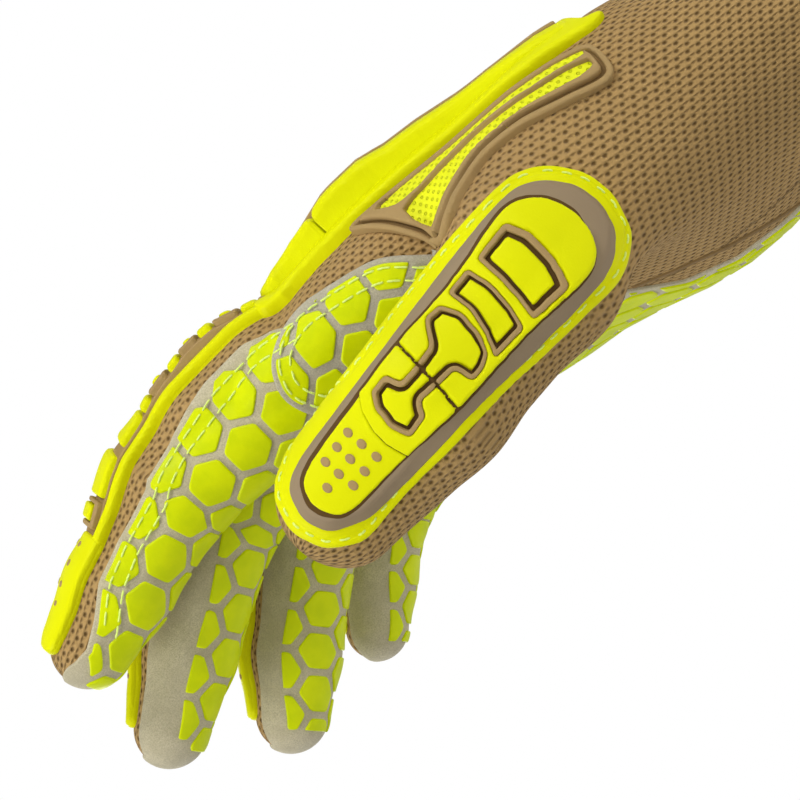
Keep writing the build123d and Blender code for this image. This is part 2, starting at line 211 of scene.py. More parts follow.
def hand_dist(points):
    z, centre_x, centre_y, half, back, palm, power = hand_section(points)
    dx, dy = points[:, 0] - centre_x, points[:, 1] - centre_y
    depth = np.where(dy > 0, palm, back)
    ratio = ((np.abs(dx) / half) ** power + (np.abs(dy) / depth) ** power + 1e-9) ** (1 / power)
    dist = np.hypot(dx, dy) + 1e-4
    dist = dist * (1 - 1 / (ratio + 1e-4))
    dist = np.maximum(dist, -depth)
    return -soft_min(-dist, -(z - WEB_Z), 4.0)


def chain_dist(bones, points, first_joint, second_joint):
    one, two, three = (bone.dist(points) for bone in bones)
    return soft_min(soft_min(one, two, first_joint), three, second_joint)


def thumb_dist(points):
    along, side, _ = BONES["thumb"][1].local(points)
    # the ball of the thumb is fuller on its -side flank
    full = 2.1 * ease(-20, 5, along) * (1 - ease(38, 62, along)) * ease(0.15, 0.9, -side / 13.0)
    return chain_dist(BONES["thumb"], points, 6.0, 4.0) - full


def finger_dist(points, finger):
    dist = chain_dist(BONES[finger], points, 3.0, 2.5)
    if finger == "index":       # the guard holds the knit in an even arch over the first joint
        along, _, palm = BONES[finger][0].local(points)
        dist = dist - (3.0 * ease(-4, 12, along) * (1 - ease(26, 42, along))
                       * ease(0.0, 0.85, -palm / 11.0))
    return dist


def fingers_dist(points):
    return np.minimum.reduce([finger_dist(points, f) for f in FINGERS])


def body(points):
    """Distance to the whole glove."""
    dist = soft_min(hand_dist(points), fingers_dist(points), 5.0)
    z = points[:, 2]
    dist = soft_min(dist, thumb_dist(points), 14.0 - 11.0 * ease(122, 142, z))
    # the knit gathers at the wrist in upright and ring-shaped wrinkles
    angle = np.arctan2(points[:, 1], points[:, 0])
    near = ease(30, 40, z) * (1 - ease(52, 66, z))
    return dist - near * (0.45 * np.sin(26 * angle + 0.6 * np.sin(5 * angle))
                          + 0.3 * np.sin(z * 0.55 + 2 * np.sin(3 * angle)) - 0.4)


def gradient(points, step=0.25):
    slope = np.empty_like(points)
    for i in range(3):
        ahead, behind = points.copy(), points.copy()
        ahead[:, i] += step
        behind[:, i] -= step
        slope[:, i] = body(ahead) - body(behind)
    return slope / (2 * step)


def snap(points, steps):
    """Moves points onto the surface; returns points and outward normals."""
    points = np.array(points, float)
    for _ in range(steps):
        slope = gradient(points)
        square = (slope * slope).sum(1) + 1e-6
        points = points - (np.clip(body(points), -1.5, 1.5) / square)[:, None] * slope
    return points, unit_rows(gradient(points))


# ------------------------------------------------------------------ S and W on the surface
REF_HALF = 45.0                               # half width of the section that W is measured on
REF_BACK, REF_POWER = 20.5, 2.4
radius = 1 / ((np.abs(np.sin(ANGLES)) / REF_HALF) ** REF_POWER
              + (np.abs(np.cos(ANGLES)) / REF_BACK) ** REF_POWER) ** (1 / REF_POWER)
HAND_ARC = arc_table(radius * np.sin(ANGLES), radius * np.cos(ANGLES))
PALM_W = HAND_ARC[-1]                         # W at the middle of the palm


def hand_around(points):
    """W and angle of points on the hand."""
    _, centre_x, centre_y, half, _, _, _ = hand_section(points)
    angle = np.arctan2(-(points[:, 0] - centre_x), -(points[:, 1] - centre_y))
    return np.interp(angle, ANGLES, HAND_ARC) * (half / REF_HALF), angle


def digit_place(points, digit):
    """S, W and angle of points along a finger or the thumb, from its nearest bone."""
    bones = BONES[digit]
    passed = 0.0
    out_along, out_around, out_angle = (np.zeros(len(points)) for _ in range(3))
    closest = np.full(len(points), 1e9)
    for i, bone in enumerate(bones):
        along, side, palm = bone.local(points)
        held = np.clip(along, -1e9 if i == 0 else 0.0, 1e9 if i == 2 else bone.length)
        miss = np.abs(along - held)
        width, depth = bone.size_at(along)
        angle = np.arctan2(-side / width, -palm / depth)
        around = np.interp(angle, ANGLES, bone.arc) * (width + depth) / bone.start_size
        use = miss < closest
        closest = np.where(use, miss, closest)
        out_along = np.where(use, passed + held, out_along)
        out_around = np.where(use, around, out_around)
        out_angle = np.where(use, angle, out_angle)
        passed += bone.length
    return out_along, out_around, out_angle


def digit_length(digit):
    return sum(bone.length for bone in BONES[digit])


RAIL_STEP = 0.25


def average(rows, reach):
    """Running average down the columns, weighted by a Hann window."""
    window = np.hanning(2 * reach + 3)[1:-1]
    window /= window.sum()
    padded = np.concatenate([np.repeat(rows[:1], reach, 0), rows, np.repeat(rows[-1:], reach, 0)])
    return np.stack([np.convolve(padded[:, i], window, "valid") for i in range(rows.shape[1])], 1)


def make_rail(digit):
    """A smooth centre line: S, and rows of centre, side, palm, width, depth, share of each bone."""
    bones = BONES[digit]
    lengths = [bone.length for bone in bones]
    places = np.arange(-40, sum(lengths) + 40, RAIL_STEP)
    ends = np.cumsum(lengths)
    which = np.clip(np.searchsorted(ends, places, "right"), 0, 2)
    local = places - np.concatenate([[0], ends])[:3][which]

    def pick(field):
        return np.array([getattr(bone, field) for bone in bones])[which]

    centre = pick("start") + local[:, None] * pick("along")
    k = np.clip(local / np.array(lengths)[which], 0, 1)
    widths, depths = pick("widths"), pick("depths")
    width = widths[:, 0] + k * (widths[:, 1] - widths[:, 0])
    depth = depths[:, 0] + k * (depths[:, 1] - depths[:, 0])
    rows = np.column_stack([centre, pick("along"), pick("palm"), width, depth, np.eye(3)[which]])
    rows = average(rows, int((10 if digit == "thumb" else 7) / RAIL_STEP))
    along = unit_rows(rows[:, 3:6], 0)
    palm = rows[:, 6:9]
    palm = unit_rows(palm - (palm * along).sum(1)[:, None] * along, 0)
    side = np.cross(palm, along)
    if side[0] @ bones[0].side < 0:
        side = -side
    return places, np.column_stack([rows[:, :3], side, palm, rows[:, 9:]])


RAILS = {digit: make_rail(digit) for digit in DIGITS}


def fly(origins, rays, dist, start, steps):
    """Distance along each ray to the surface."""
    reach = start.copy()
    for _ in range(steps):
        gap = dist(origins + rays * reach[:, None])
        reach = np.clip(reach - np.clip(gap, -5, 5) * 0.85, 0.2, 60)
    return reach


def land(origins, rays, start, steps):
    """Surface points and normals where rays leave the glove."""
    points = origins + rays * fly(origins, rays, body, start, steps)[:, None]
    return points, unit_rows(gradient(points, 0.3))


def on_digit(digit):
    """A function from (S, W) on a digit to surface points and normals."""
    places, rail = RAILS[digit]

    def put(along, around):
        row = np.stack([np.interp(along, places, column) for column in rail.T], 1)
        centre, side, palm, width, depth = row[:, :3], row[:, 3:6], row[:, 6:9], row[:, 9], row[:, 10]
        angle = np.zeros(len(along))
        for i, bone in enumerate(BONES[digit]):
            run = around * bone.start_size / (width + depth)
            lap = bone.arc[-1] - bone.arc[0]
            turns = np.round(run / lap)
            angle += row[:, 11 + i] * (np.interp(run - turns * lap, bone.arc, ANGLES)
                                       + 2 * math.pi * turns)
        rays = -(width * np.sin(angle))[:, None] * side - (depth * np.cos(angle))[:, None] * palm
        size = np.linalg.norm(rays, axis=1)
        rays /= size[:, None]
        return land(centre, rays, size * 0.8, 26)
    return put


def on_hand(z, around):
    """Surface points and normals from (S, W) on the hand."""
    count = len(z)
    points = np.stack([np.full(count, -1.5), np.zeros(count), z], 1)
    for _ in range(3):      # the section depends on x, so the place is found by repetition
        _, centre_x, centre_y, half, _, _, _ = hand_section(points)
        run = around * REF_HALF / half
        lap = HAND_ARC[-1] - HAND_ARC[0]
        run = run - lap * np.round(run / lap)
        angle = np.interp(run, HAND_ARC, ANGLES)
        origins = np.stack([centre_x, np.clip(centre_y, -4, 14), z], 1)
        rays = np.stack([-np.sin(angle), -np.cos(angle), np.zeros(count)], 1)
        points, normals = land(origins, rays, np.full(count, 8.0), 40)
    return points, normals


# ------------------------------------------------------------------ triangle meshes
class Mesh:
    """Vertices, triangles and per-vertex data: "n" is the surface normal, "N" the shading normal."""

    def __init__(self, verts, tris, **data):
        self.verts, self.data = np.asarray(verts, float), data
        self.tris = np.asarray(tris, np.int64).reshape(-1, 3)

    def tidy(self):
        """The same mesh without unused vertices."""
        used = np.zeros(len(self.verts), bool)
        used[self.tris.ravel()] = True
        new = np.cumsum(used) - 1
        return Mesh(self.verts[used], new[self.tris], **{k: v[used] for k, v in self.data.items()})

    def flip(self):
        self.tris = self.tris[:, ::-1].copy()


def lead_with(tris, odd):
    """Turns each triangle so that its odd corner comes first."""
    first = odd.argmax(1)
    rows = np.arange(len(tris))
    return np.stack([tris[rows, (first + i) % 3] for i in range(3)], 1)


def divide(mesh, field):
    """Cuts the triangles along field = 0. Returns vertices, data and the two sets of triangles."""
    field = np.where(np.abs(field) < 0.012, np.where(field >= 0, 0.012, -0.012), field)
    inside = field > 0
    count = inside[mesh.tris].sum(1)
    none, one, two, full = (mesh.tris[count == i] for i in range(4))
    if len(one) + len(two) == 0:
        return mesh.verts, mesh.data, full, none
    one, two = lead_with(one, inside[one]), lead_with(two, ~inside[two])
    mix = np.concatenate([one, two])
    edges = np.sort(np.concatenate([mix[:, :2], mix[:, [0, 2]]]), 1)
    size = len(mesh.verts)
    _, first, back = np.unique(edges[:, 0] * size + edges[:, 1], return_index=True,
                               return_inverse=True)
    back = back.ravel()
    low, high = edges[first, 0], edges[first, 1]
    share = field[low] / (field[low] - field[high])

    def mixed(values):
        k = share.reshape((-1,) + (1,) * (values.ndim - 1))
        return np.concatenate([values, values[low] + (values[high] - values[low]) * k])

    left, right = size + back[:len(mix)], size + back[len(mix):]
    k = len(one)

    def tip(odd, cut):
        return np.stack([odd[:, 0], left[cut], right[cut]], 1)

    def rest(odd, cut):
        return [np.stack([left[cut], odd[:, 1], odd[:, 2]], 1),
                np.stack([left[cut], odd[:, 2], right[cut]], 1)]

    ones, twos = slice(None, k), slice(k, None)
    positive = np.concatenate([full, tip(one, ones)] + rest(two, twos))
    negative = np.concatenate([none] + rest(one, ones) + [tip(two, twos)])
    return (mixed(mesh.verts), {key: mixed(v) for key, v in mesh.data.items()},
            positive, negative)


def part(mesh, field):
    """The positive and negative sides of field = 0, or None for an empty side."""
    verts, data, *sides = divide(mesh, field)
    return [Mesh(verts, tris, **data).tidy() if len(tris) else None for tris in sides]


def join(meshes):
    """One mesh from several without data."""
    offsets = np.cumsum([0] + [len(m.verts) for m in meshes])
    return Mesh(np.concatenate([m.verts for m in meshes]),
                np.concatenate([m.tris + offset for m, offset in zip(meshes, offsets)]))


def facing(mesh):
    """Area-weighted vertex normals."""
    one, two, three = (mesh.verts[mesh.tris[:, i]] for i in range(3))
    cross = np.cross(two - one, three - one)
    out = np.zeros_like(mesh.verts)
    for i in range(3):
        for j in range(3):
            out[:, j] += np.bincount(mesh.tris[:, i], cross[:, j], len(mesh.verts))
    return unit_rows(out, 1e-12)


def rim(mesh):
    """Edges with one triangle, in the triangle's own direction."""
    edges = np.concatenate([mesh.tris[:, [0, 1]], mesh.tris[:, [1, 2]], mesh.tris[:, [2, 0]]])
    pairs = np.sort(edges, 1)
    key = pairs[:, 0] * len(mesh.verts) + pairs[:, 1]
    _, back, count = np.unique(key, return_inverse=True, return_counts=True)
    return edges[count[back.ravel()] == 1]


def grid(put, start, end, low, high, step):
    """A surface patch over S start..end and W low..high. Returns it with its S and W."""
    rows = max(2, int(round((end - start) / step)) + 1)
    cols = max(2, int(round((high - low) / step)) + 1)
    along, around = np.meshgrid(np.linspace(start, end, rows), np.linspace(low, high, cols),
                                indexing="ij")
    along, around = along.ravel(), around.ravel()
    points, normals = put(along, around)
    i, j = np.meshgrid(np.arange(rows - 1), np.arange(cols - 1), indexing="ij")
    corner = (i * cols + j).ravel()
    quads = np.stack([corner, corner + cols, corner + cols + 1, corner + 1], 1)
    mesh = Mesh(points, split_quads(quads, ((i + j) % 2 == 0).ravel()),
                n=normals, S=along, W=around)
    if (facing(mesh) * normals).sum() < 0:
        mesh.flip()
    return mesh, along, around


def split_quads(quads, first_diagonal):
    pick = first_diagonal[:, None]
    return np.concatenate([np.where(pick, quads[:, [0, 1, 2]], quads[:, [0, 1, 3]]),
                           np.where(pick, quads[:, [0, 2, 3]], quads[:, [1, 2, 3]])])


def layer(mesh, field, top, bevel, base, rings):
    """Raises the part of a patch where field > 0, with a rounded edge and a wall down to base.

    top is a height above the surface, or a function of the vertex data. rings are the places of
    extra edge loops, in bevels from the border.
    """
    verts, data, inside, _ = divide(Mesh(mesh.verts, mesh.tris, **dict(mesh.data, f=field)), field)
    if not len(inside):
        return None
    mesh = Mesh(verts, inside, **data).tidy()
    for ring in rings:
        verts, data, *sides = divide(mesh, mesh.data["f"] - ring * bevel)
        mesh = Mesh(verts, np.concatenate(sides), **data)
    data, field, normals = mesh.data, mesh.data["f"], mesh.data["n"]
    x = np.clip(1 - field / bevel, 0, 1)
    height = (top(data) if callable(top) else top) - bevel * (1 - np.sqrt(np.maximum(1 - x * x, 0)))
    edges = rim(mesh)
    edges = edges[(field[edges] < 0.05).all(1)]
    ids = np.unique(edges)
    low = np.full(len(mesh.verts), -1)
    low[ids] = len(mesh.verts) + np.arange(len(ids))
    one, two = edges[:, 0], edges[:, 1]
    return Mesh(np.concatenate([mesh.verts + normals * np.asarray(height).reshape(-1, 1),
                                mesh.verts[ids] + normals[ids] * base]),
                np.concatenate([mesh.tris, np.stack([two, one, low[one]], 1),
                                np.stack([two, low[one], low[two]], 1)]),
                **{k: np.concatenate([v, v[ids]]) for k, v in data.items()})


def loft(rows, cap_start=False, cap_end=False):
    """A tube through closed rows of points."""
    count = len(rows[0])
    verts = np.concatenate(rows)
    i, j = np.meshgrid(np.arange(len(rows) - 1), np.arange(count), indexing="ij")
    here, beside = (i * count + j).ravel(), (i * count + (j + 1) % count).ravel()
    tris = [np.stack([here, beside, beside + count], 1),
            np.stack([here, beside + count, here + count], 1)]
    ring = np.arange(count)
    if cap_start:
        tris.append(np.stack([np.full(count, len(verts)), np.roll(ring, -1), ring], 1))
        verts = np.concatenate([verts, rows[0].mean(0)[None]])
    if cap_end:
        ring = ring + (len(rows) - 1) * count
        tris.append(np.stack([np.full(count, len(verts)), ring, np.roll(ring, -1)], 1))
        verts = np.concatenate([verts, rows[-1].mean(0)[None]])
    return Mesh(verts, np.concatenate(tris))


# ------------------------------------------------------------------ flat shapes as fields
def polygon(along, around, outline):
    """Field of a closed outline."""
    start = np.array(outline, float)
    end = np.roll(start, -1, 0)
    points = np.stack([along, around], 1)[:, None, :]
    edge = (end - start)[None]
    offset = points - start[None]
    t = np.clip((offset * edge).sum(2) / ((edge * edge).sum(2) + 1e-12), 0, 1)
    dist = np.linalg.norm(offset - edge * t[..., None], axis=2).min(1)
    y0, y1 = start[None, :, 1], end[None, :, 1]
    x0, x1 = start[None, :, 0], end[None, :, 0]
    spans = (y0 > points[..., 1]) != (y1 > points[..., 1])
    rise = np.where(np.abs(y1 - y0) < 1e-12, 1e-12, y1 - y0)
    before = points[..., 0] < (x1 - x0) * (points[..., 1] - y0) / rise + x0
    return np.where((spans & before).sum(1) % 2 == 1, dist, -dist)


def soften(outline, rounds=2, share=0.25):
    """Cuts the corners of a closed outline."""
    points = np.array(outline, float)
    for _ in range(rounds):
        after = np.roll(points, -1, 0)
        points = np.stack([points + (after - points) * share,
                           after + (points - after) * share], 1).reshape(-1, 2)
    return points


def inset(outline, distance, per_point=False):
    """Moves an outline inwards; per_point settles the direction at each point by itself."""
    tangent = unit_rows(np.roll(outline, -1, 0) - np.roll(outline, 1, 0))
    normal = np.stack([-tangent[:, 1], tangent[:, 0]], 1)
    inward = ((outline.mean(0) - outline) * normal).sum(1)[:, None]
    return outline + normal * np.where((inward if per_point else inward.sum()) < 0, -1, 1) * distance


def hexes(along, around, start, middle, pitch=10.1, radius=4.3):
    """Field of a honeycomb with a cell at (start, middle)."""
    column = pitch * math.sqrt(3) / 2
    best = np.full(len(along), -9.0)
    nearest = np.round((around - middle) / column)
    for step in (-1, 0, 1):
        j = nearest + step
        x = along - start - 0.5 * pitch * (np.mod(j, 2))
        x = x - pitch * np.round(x / pitch)
        y = around - middle - j * column
        sides = [np.abs(x), np.abs(0.5 * x + 0.8660254 * y), np.abs(0.5 * x - 0.8660254 * y)]
        total = sum(np.exp(5.0 * np.minimum(side - radius, 20)) for side in sides)
        best = np.maximum(best, -np.log(total) / 5.0)
    return best


def dots(along, around, centres, radius):
    best = np.full(len(along), -9.0)
    for x, y in centres:
        best = np.maximum(best, radius - np.hypot(along - x, around - y))
    return best


# ------------------------------------------------------------------ where the bodies meet
BEND_HALF = {"index": 8.0, "middle": 9.0, "ring": 7.5, "pinky": 4.3}   # reach of a joint's bend
KNUCKLE_CUT = 25.0                                   # along a finger's first bone
THUMB_CUT = 0.68 * BONES["thumb"][1].length          # along the thumb's second bone
CUFF_CUT_Z, FINGER_CUT_Z = 80, 145


def past_joint(points, digit, joint):
    """Distance past the plane that halves a joint's bend."""
    one, two = BONES[digit][joint:joint + 2]
    return (points - one.end) @ unit(one.along + two.along)


def thumb_zone(points):
    """Field of the thumb's share of the glove."""
    rest = np.minimum(fingers_dist(points), hand_dist(points))
    z = points[:, 2]
    field = rest - chain_dist(THUMB_FREE, points, 6.0, 4.0) + 5 - 3.5 * ease(122, 140, z)
    return np.where(z > 80, field, -5.0)


def thumb_weight(points):
    zone = thumb_zone(points)
    along = BONES["thumb"][1].local(points)[0]
    return (np.maximum(ease(0, 12, zone), ease(12, 21.8, along) * ease(0.5, 4, zone))
            * ease(80, 96, points[:, 2]))


def knuckle_weight(points, finger):
    """The bend starts later on the flanks that face another finger."""
    along, side, _ = BONES[finger][0].local(points)
    shared = {"index": side > 0, "pinky": side < 0}.get(finger, True)
    flank = np.where(shared, ease(0.5, 1.0, np.abs(side) / BONES[finger][0].widths[0]), 0.0)
    return ease(-9 + 25 * flank, 9 + 16 * flank, along)


# ------------------------------------------------------------------ Blender objects
MATERIALS = {}
MADE = []


def make_object(name, mesh, material, mover, other=None, weight=None):
    """An object that rides one CAD body; one whose weight lies between two bodies is left in world
    space on no body.
    """
    count = len(mesh.tris)
    data = bpy.data.meshes.new(name)
    data.vertices.add(len(mesh.verts))
    data.vertices.foreach_set("co", (mesh.verts / 1000.0).astype(np.float32).ravel())
    data.loops.add(3 * count)
    data.loops.foreach_set("vertex_index", mesh.tris.astype(np.int32).ravel())
    data.polygons.add(count)
    data.polygons.foreach_set("loop_start", np.arange(0, 3 * count, 3, dtype=np.int32))
    data.update(calc_edges=True)
    data.polygons.foreach_set("use_smooth", np.ones(count, bool))
    for key in ("ku", "kv", "tu", "tv", "tm", "S", "W", "f"):
        if key in mesh.data:
            values = mesh.data[key].astype(np.float32)
            data.attributes.new(key, "FLOAT", "POINT").data.foreach_set("value", values)
    data.normals_split_custom_set_from_vertices(mesh.data["N"].tolist())
    data.materials.append(MATERIALS[material])
    made = bpy.data.objects.new(name, data)
    bpy.context.scene.collection.objects.link(made)
    if other is not None:
        if weight.max() < 1e-4:
            other = None
        elif weight.min() > 1 - 1e-4:
            mover, other = other, None
    if other is None:
        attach(made, mover)
    else:
        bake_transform(made)
    MADE.append(made)


def add_piece(name, mesh, material, keep=None):
    """Cuts a mesh where bodies meet, and makes an object of each cut.

    keep, if given, holds the suffixes of the cuts that are made.
    """
    if mesh is None:
        return
    if "N" not in mesh.data:
        mesh.data["N"] = facing(mesh)

    def add(suffix, cut, mover, other=None, weigh=None):
        if cut is None or len(cut.tris) < 2 or (keep is not None and suffix not in keep):
            return
        cut.data["N"] = unit_rows(cut.data["N"], 1e-12)
        make_object(f"{name}_{suffix}", cut, material, mover, other,
                    weigh(cut.verts) if weigh else None)

    upper, cuff = part(mesh, mesh.verts[:, 2] - CUFF_CUT_Z)
    add("cuff", cuff, "cuff", "hand", lambda points: ease(44, 76, points[:, 2]))
    if upper is None:
        return
    thumb, rest = part(upper, thumb_zone(upper.verts))
    if thumb is not None:
        base, tip = part(thumb, THUMB_CUT - BONES["thumb"][1].local(thumb.verts)[0])
        add("thumb_base", base, "hand", "thumb_base", thumb_weight)
        add("thumb_tip", tip, "thumb_base", "thumb_tip",
            lambda points: ease(-8, 8, past_joint(points, "thumb", 1)))
    if rest is None:
        return
    hand, left = part(rest, FINGER_CUT_Z - rest.verts[:, 2])
    add("hand", hand, "hand")
    for i, finger in enumerate(FINGERS):
        if left is None:
            break
        if i < 3:
            dists = [finger_dist(left.verts, other) for other in FINGERS[i:]]
            mine, left = part(left, np.minimum.reduce(dists[1:]) - dists[0])
        else:
            mine = left
        if mine is None:
            continue
        knuckle, beyond = part(mine, KNUCKLE_CUT - BONES[finger][0].local(mine.verts)[0])
        add(f"{finger}_knuckle", knuckle, "hand", f"{finger}_proximal",
            lambda points: knuckle_weight(points, finger))
        if beyond is None:
            continue
        cuts = part(beyond, -(past_joint(beyond.verts, finger, 0)
                              + past_joint(beyond.verts, finger, 1)))
        half = BEND_HALF[finger]
        names = [f"{finger}_{place}" for place in ("proximal", "middle", "tip")]
        for joint, cut in enumerate(cuts):
            add(names[joint + 1], cut, names[joint], names[joint + 1],
                lambda points: ease(-half, half, past_joint(points, finger, joint)))


def add_raised(name, patch, field, top, material, bevel=0.4, base=-0.3, rings=(0.3, 1.0),
               keep=None):
    add_piece(name, layer(patch, field, top, bevel, base, rings), material, keep)


# ------------------------------------------------------------------ materials
class Shader:
    """A material's node tree around a Principled BSDF, with a method for each kind of node."""

    def __init__(self, name):
        material = bpy.data.materials.new(name)
        material.use_nodes = True
        self.tree = material.node_tree
        self.tree.nodes.clear()
        output = self.tree.nodes.new("ShaderNodeOutputMaterial")
        self.bsdf = self.tree.nodes.new("ShaderNodeBsdfPrincipled")
        self.tree.links.new(self.bsdf.outputs[0], output.inputs[0])
        MATERIALS[name] = material

    def fill(self, socket, value):
        if isinstance(value, bpy.types.NodeSocket):
            self.tree.links.new(value, socket)
        else:
            socket.default_value = (*value, 1) if socket.type == "RGBA" else value

    def node(self, kind, inputs, **settings):
        node = self.tree.nodes.new("ShaderNode" + kind)
        for key, value in settings.items():
            setattr(node, key, value)
        for key, value in inputs.items():
            self.fill(node.inputs[key], value)
        return node

    def math(self, operation, *values, clamp=False):
        return self.node("Math", dict(enumerate(values)), operation=operation,
                         use_clamp=clamp).outputs[0]

    def add(self, one, two, clamp=False):
        return self.math("ADD", one, two, clamp=clamp)

    def minus(self, one, two):
        return self.math("SUBTRACT", one, two)

    def times(self, one, two):
        return self.math("MULTIPLY", one, two)

    def over(self, one, two):
        return self.math("DIVIDE", one, two)

    def wrap(self, value):
        """Signed distance to the nearest whole number."""
        return self.minus(value, self.math("ROUND", value))

    def radius(self, x, y):
        return self.math("SQRT", self.add(self.times(x, x), self.times(y, y)))

    def attr(self, name):
        return self.node("Attribute", {}, attribute_name=name).outputs["Fac"]

    def coord(self):
        return self.node("TexCoord", {}).outputs["Object"]

    def noise(self, scale, detail, rough):
        return self.node("TexNoise", {"Scale": scale, "Detail": detail, "Roughness": rough,
                                      "Vector": self.coord()}).outputs[0]

    def ramp(self, value, low, high, out_low=0.0, out_high=1.0):
        return self.node("MapRange", dict(enumerate((value, low, high, out_low, out_high))),
                         interpolation_type="SMOOTHSTEP").outputs[0]

    def mix(self, share, one, two):
        return self.node("Mix", {0: share, 6: one, 7: two}, data_type="RGBA").outputs[2]

    def bump(self, height, distance, strength):
        return self.node("Bump", {"Strength": strength, "Distance": distance,
                                  "Height": height}).outputs[0]

    def finish(self, color, rough, normal, **more):
        inputs = dict(Base_Color=color, Roughness=rough, Normal=normal, **more)
        for key, value in inputs.items():
            self.fill(self.bsdf.inputs[key.replace("_", " ")], value)


def knit_cell(shader, along, around, row=2.4, column=1.47, lean=0.34):
    """Height and painted shade of leaning columns of small holes with a short crease between them."""
    number = shader.math("ROUND", shader.over(around, column))
    x = shader.minus(shader.over(along, row), shader.times(number, lean))
    y = shader.minus(shader.over(around, column), number)
    crease_y = shader.add(y, 0.25)
    crease_x = shader.wrap(shader.add(x, 0.5))
    x = shader.wrap(x)

    def spot(x, y, half_length, half_width, low, high):
        radius = shader.radius(shader.times(x, row / half_length),
                               shader.times(y, column / half_width))
        return shader.ramp(radius, low, high, out_low=1.0, out_high=0.0)

    hole = spot(x, y, half_length=0.46, half_width=0.34, low=0.2, high=1.5)
    crease = spot(crease_x, crease_y, half_length=0.56, half_width=0.26, low=0.1, high=1.5)
    well = spot(x, y, half_length=1.05, half_width=0.70, low=0.2, high=1.2)
    # dark is painted shade: the holes and creases are darkened where shade falls into them
    dark = shader.add(hole, shader.times(crease, 0.68), clamp=True)
    height = shader.add(shader.add(shader.times(hole, -0.7), shader.times(crease, -0.5)),
                        shader.times(well, -0.5))
    return height, dark


def knit_shell():
    """Tan knit, crossing from the hand's pattern (ku, kv) to the digit's (tu, tv) by tm."""
    shader = Shader("knit")
    hand_height, hand_painted_shade = knit_cell(shader, shader.attr("ku"), shader.attr("kv"))
    digit_height, digit_painted_shade = knit_cell(shader, shader.attr("tu"), shader.attr("tv"))
    digit = shader.attr("tm")
    hand = shader.minus(1.0, digit)
    height = shader.add(shader.times(hand_height, hand), shader.times(digit_height, digit))
    dark = shader.add(shader.times(hand_painted_shade, hand), shader.times(digit_painted_shade, digit))
    fibre = shader.noise(2600, detail=3, rough=0.6)
    cloud = shader.noise(55, detail=2, rough=0.5)
    color = shader.mix(cloud, (0.42, 0.268, 0.104), (0.49, 0.315, 0.124))
    color = shader.mix(shader.times(fibre, 0.35), color, (0.32, 0.19, 0.058))
    # painted shade: the knit is darkened towards near-black in its holes and creases
    color = shader.mix(shader.times(dark, 0.86), color, (0.070, 0.034, 0.006))
    height = shader.add(height, shader.times(fibre, 0.16))
    shader.finish(color, 0.92, shader.bump(height, distance=0.0007, strength=0.9),
                  Sheen_Weight=0.04, Sheen_Roughness=0.5, Specular_IOR_Level=0.1)


def lining_knit():
    """Finer and greyer than the shell."""
    shader = Shader("liner")
    height, dark = knit_cell(shader, shader.attr("ku"), shader.attr("kv"), row=1.9, column=1.3)
    fibre = shader.noise(2600, detail=3, rough=0.6)
    # painted shade: the lining is darkened in its holes and creases
    color = shader.mix(shader.times(dark, 0.6),
                       shader.mix(fibre, (0.36, 0.34, 0.31), (0.46, 0.44, 0.40)),
                       (0.10, 0.09, 0.08))
    height = shader.add(height, shader.times(fibre, 0.2))
    shader.finish(color, 0.92, shader.bump(height, distance=0.0004, strength=0.9),
                  Sheen_Weight=0.2)


def suede(name, dark, light):
    shader = Shader(name)
    nap = shader.noise(3200, detail=4, rough=0.7)
    blot = shader.noise(260, detail=4, rough=0.6)
    color = shader.mix(shader.ramp(blot, 0.35, 0.65), dark, light)
    color = shader.mix(shader.ramp(nap, 0.35, 0.7), color, tuple(v * 0.78 for v in dark))
    height = shader.add(nap, shader.times(blot, 0.6))
    shader.finish(color, 0.93, shader.bump(height, distance=0.00022, strength=0.8),
                  Sheen_Weight=0.22, Sheen_Roughness=0.6, Specular_IOR_Level=0.15)


def grip_print():
    """Thin soft rubber, slightly glossy, with a faint painted glow."""
    shader = Shader("print")
    soft = shader.noise(240, detail=3, rough=0.5)
    fine = shader.noise(1500, detail=3, rough=0.6)
    color = shader.mix(shader.ramp(soft, 0.3, 0.7), (0.54, 0.64, 0.0), (0.62, 0.70, 0.0))
    # the emission is a painted glow: the print gives off a little light of its own
    shader.finish(color, shader.ramp(fine, 0.2, 0.8, out_low=0.30, out_high=0.46),
                  shader.bump(shader.add(soft, shader.times(fine, 0.3)),
                              distance=0.00025, strength=0.5),
                  Emission_Color=(0.62, 0.72, 0.0), Emission_Strength=0.07, Coat_Weight=0.03,
                  Coat_Roughness=0.3, Specular_IOR_Level=0.10)


def rubber(name, color, cloud_scale, rough_low, rough_high, **more):
    shader = Shader(name)
    grain = shader.noise(2200, detail=2, rough=0.5)
    cloud = shader.noise(cloud_scale, detail=3, rough=0.5)
    shader.finish(color, shader.ramp(cloud, 0.3, 0.7, rough_low, rough_high),
                  shader.bump(grain, distance=0.00006, strength=0.5), **more)


def vent_mesh():
    """Soft yellow with small pressed dimples in staggered rows; the dimples are darkened as painted
    shade and the mesh has a faint painted glow.
    """
    shader = Shader("mesh")
    pitch, row = 1.9, 1.15
    along, around = shader.attr("S"), shader.attr("W")
    number = shader.math("ROUND", shader.over(around, row))
    odd = shader.math("MODULO", shader.math("ABSOLUTE", number), 2.0)
    x = shader.add(shader.over(along, pitch), shader.times(odd, 0.5))
    x = shader.times(shader.wrap(x), pitch)
    y = shader.times(shader.minus(shader.over(around, row), number), row)
    dimple = shader.ramp(shader.radius(x, y), 0.18, 0.42, out_low=1.0, out_high=0.0)
    # painted shade: the dimples are darkened in colour
    color = shader.mix(shader.times(dimple, 0.5), (0.74, 0.78, 0.01), (0.42, 0.46, 0.005))
    height = shader.add(shader.times(dimple, -1.0),
                        shader.times(shader.noise(900, detail=2, rough=0.5), 0.5))
    shader.finish(color, 0.6, shader.bump(height, distance=0.00045, strength=0.9),
                  Emission_Color=(0.80, 0.84, 0.0), Emission_Strength=0.08,
                  Specular_IOR_Level=0.2)


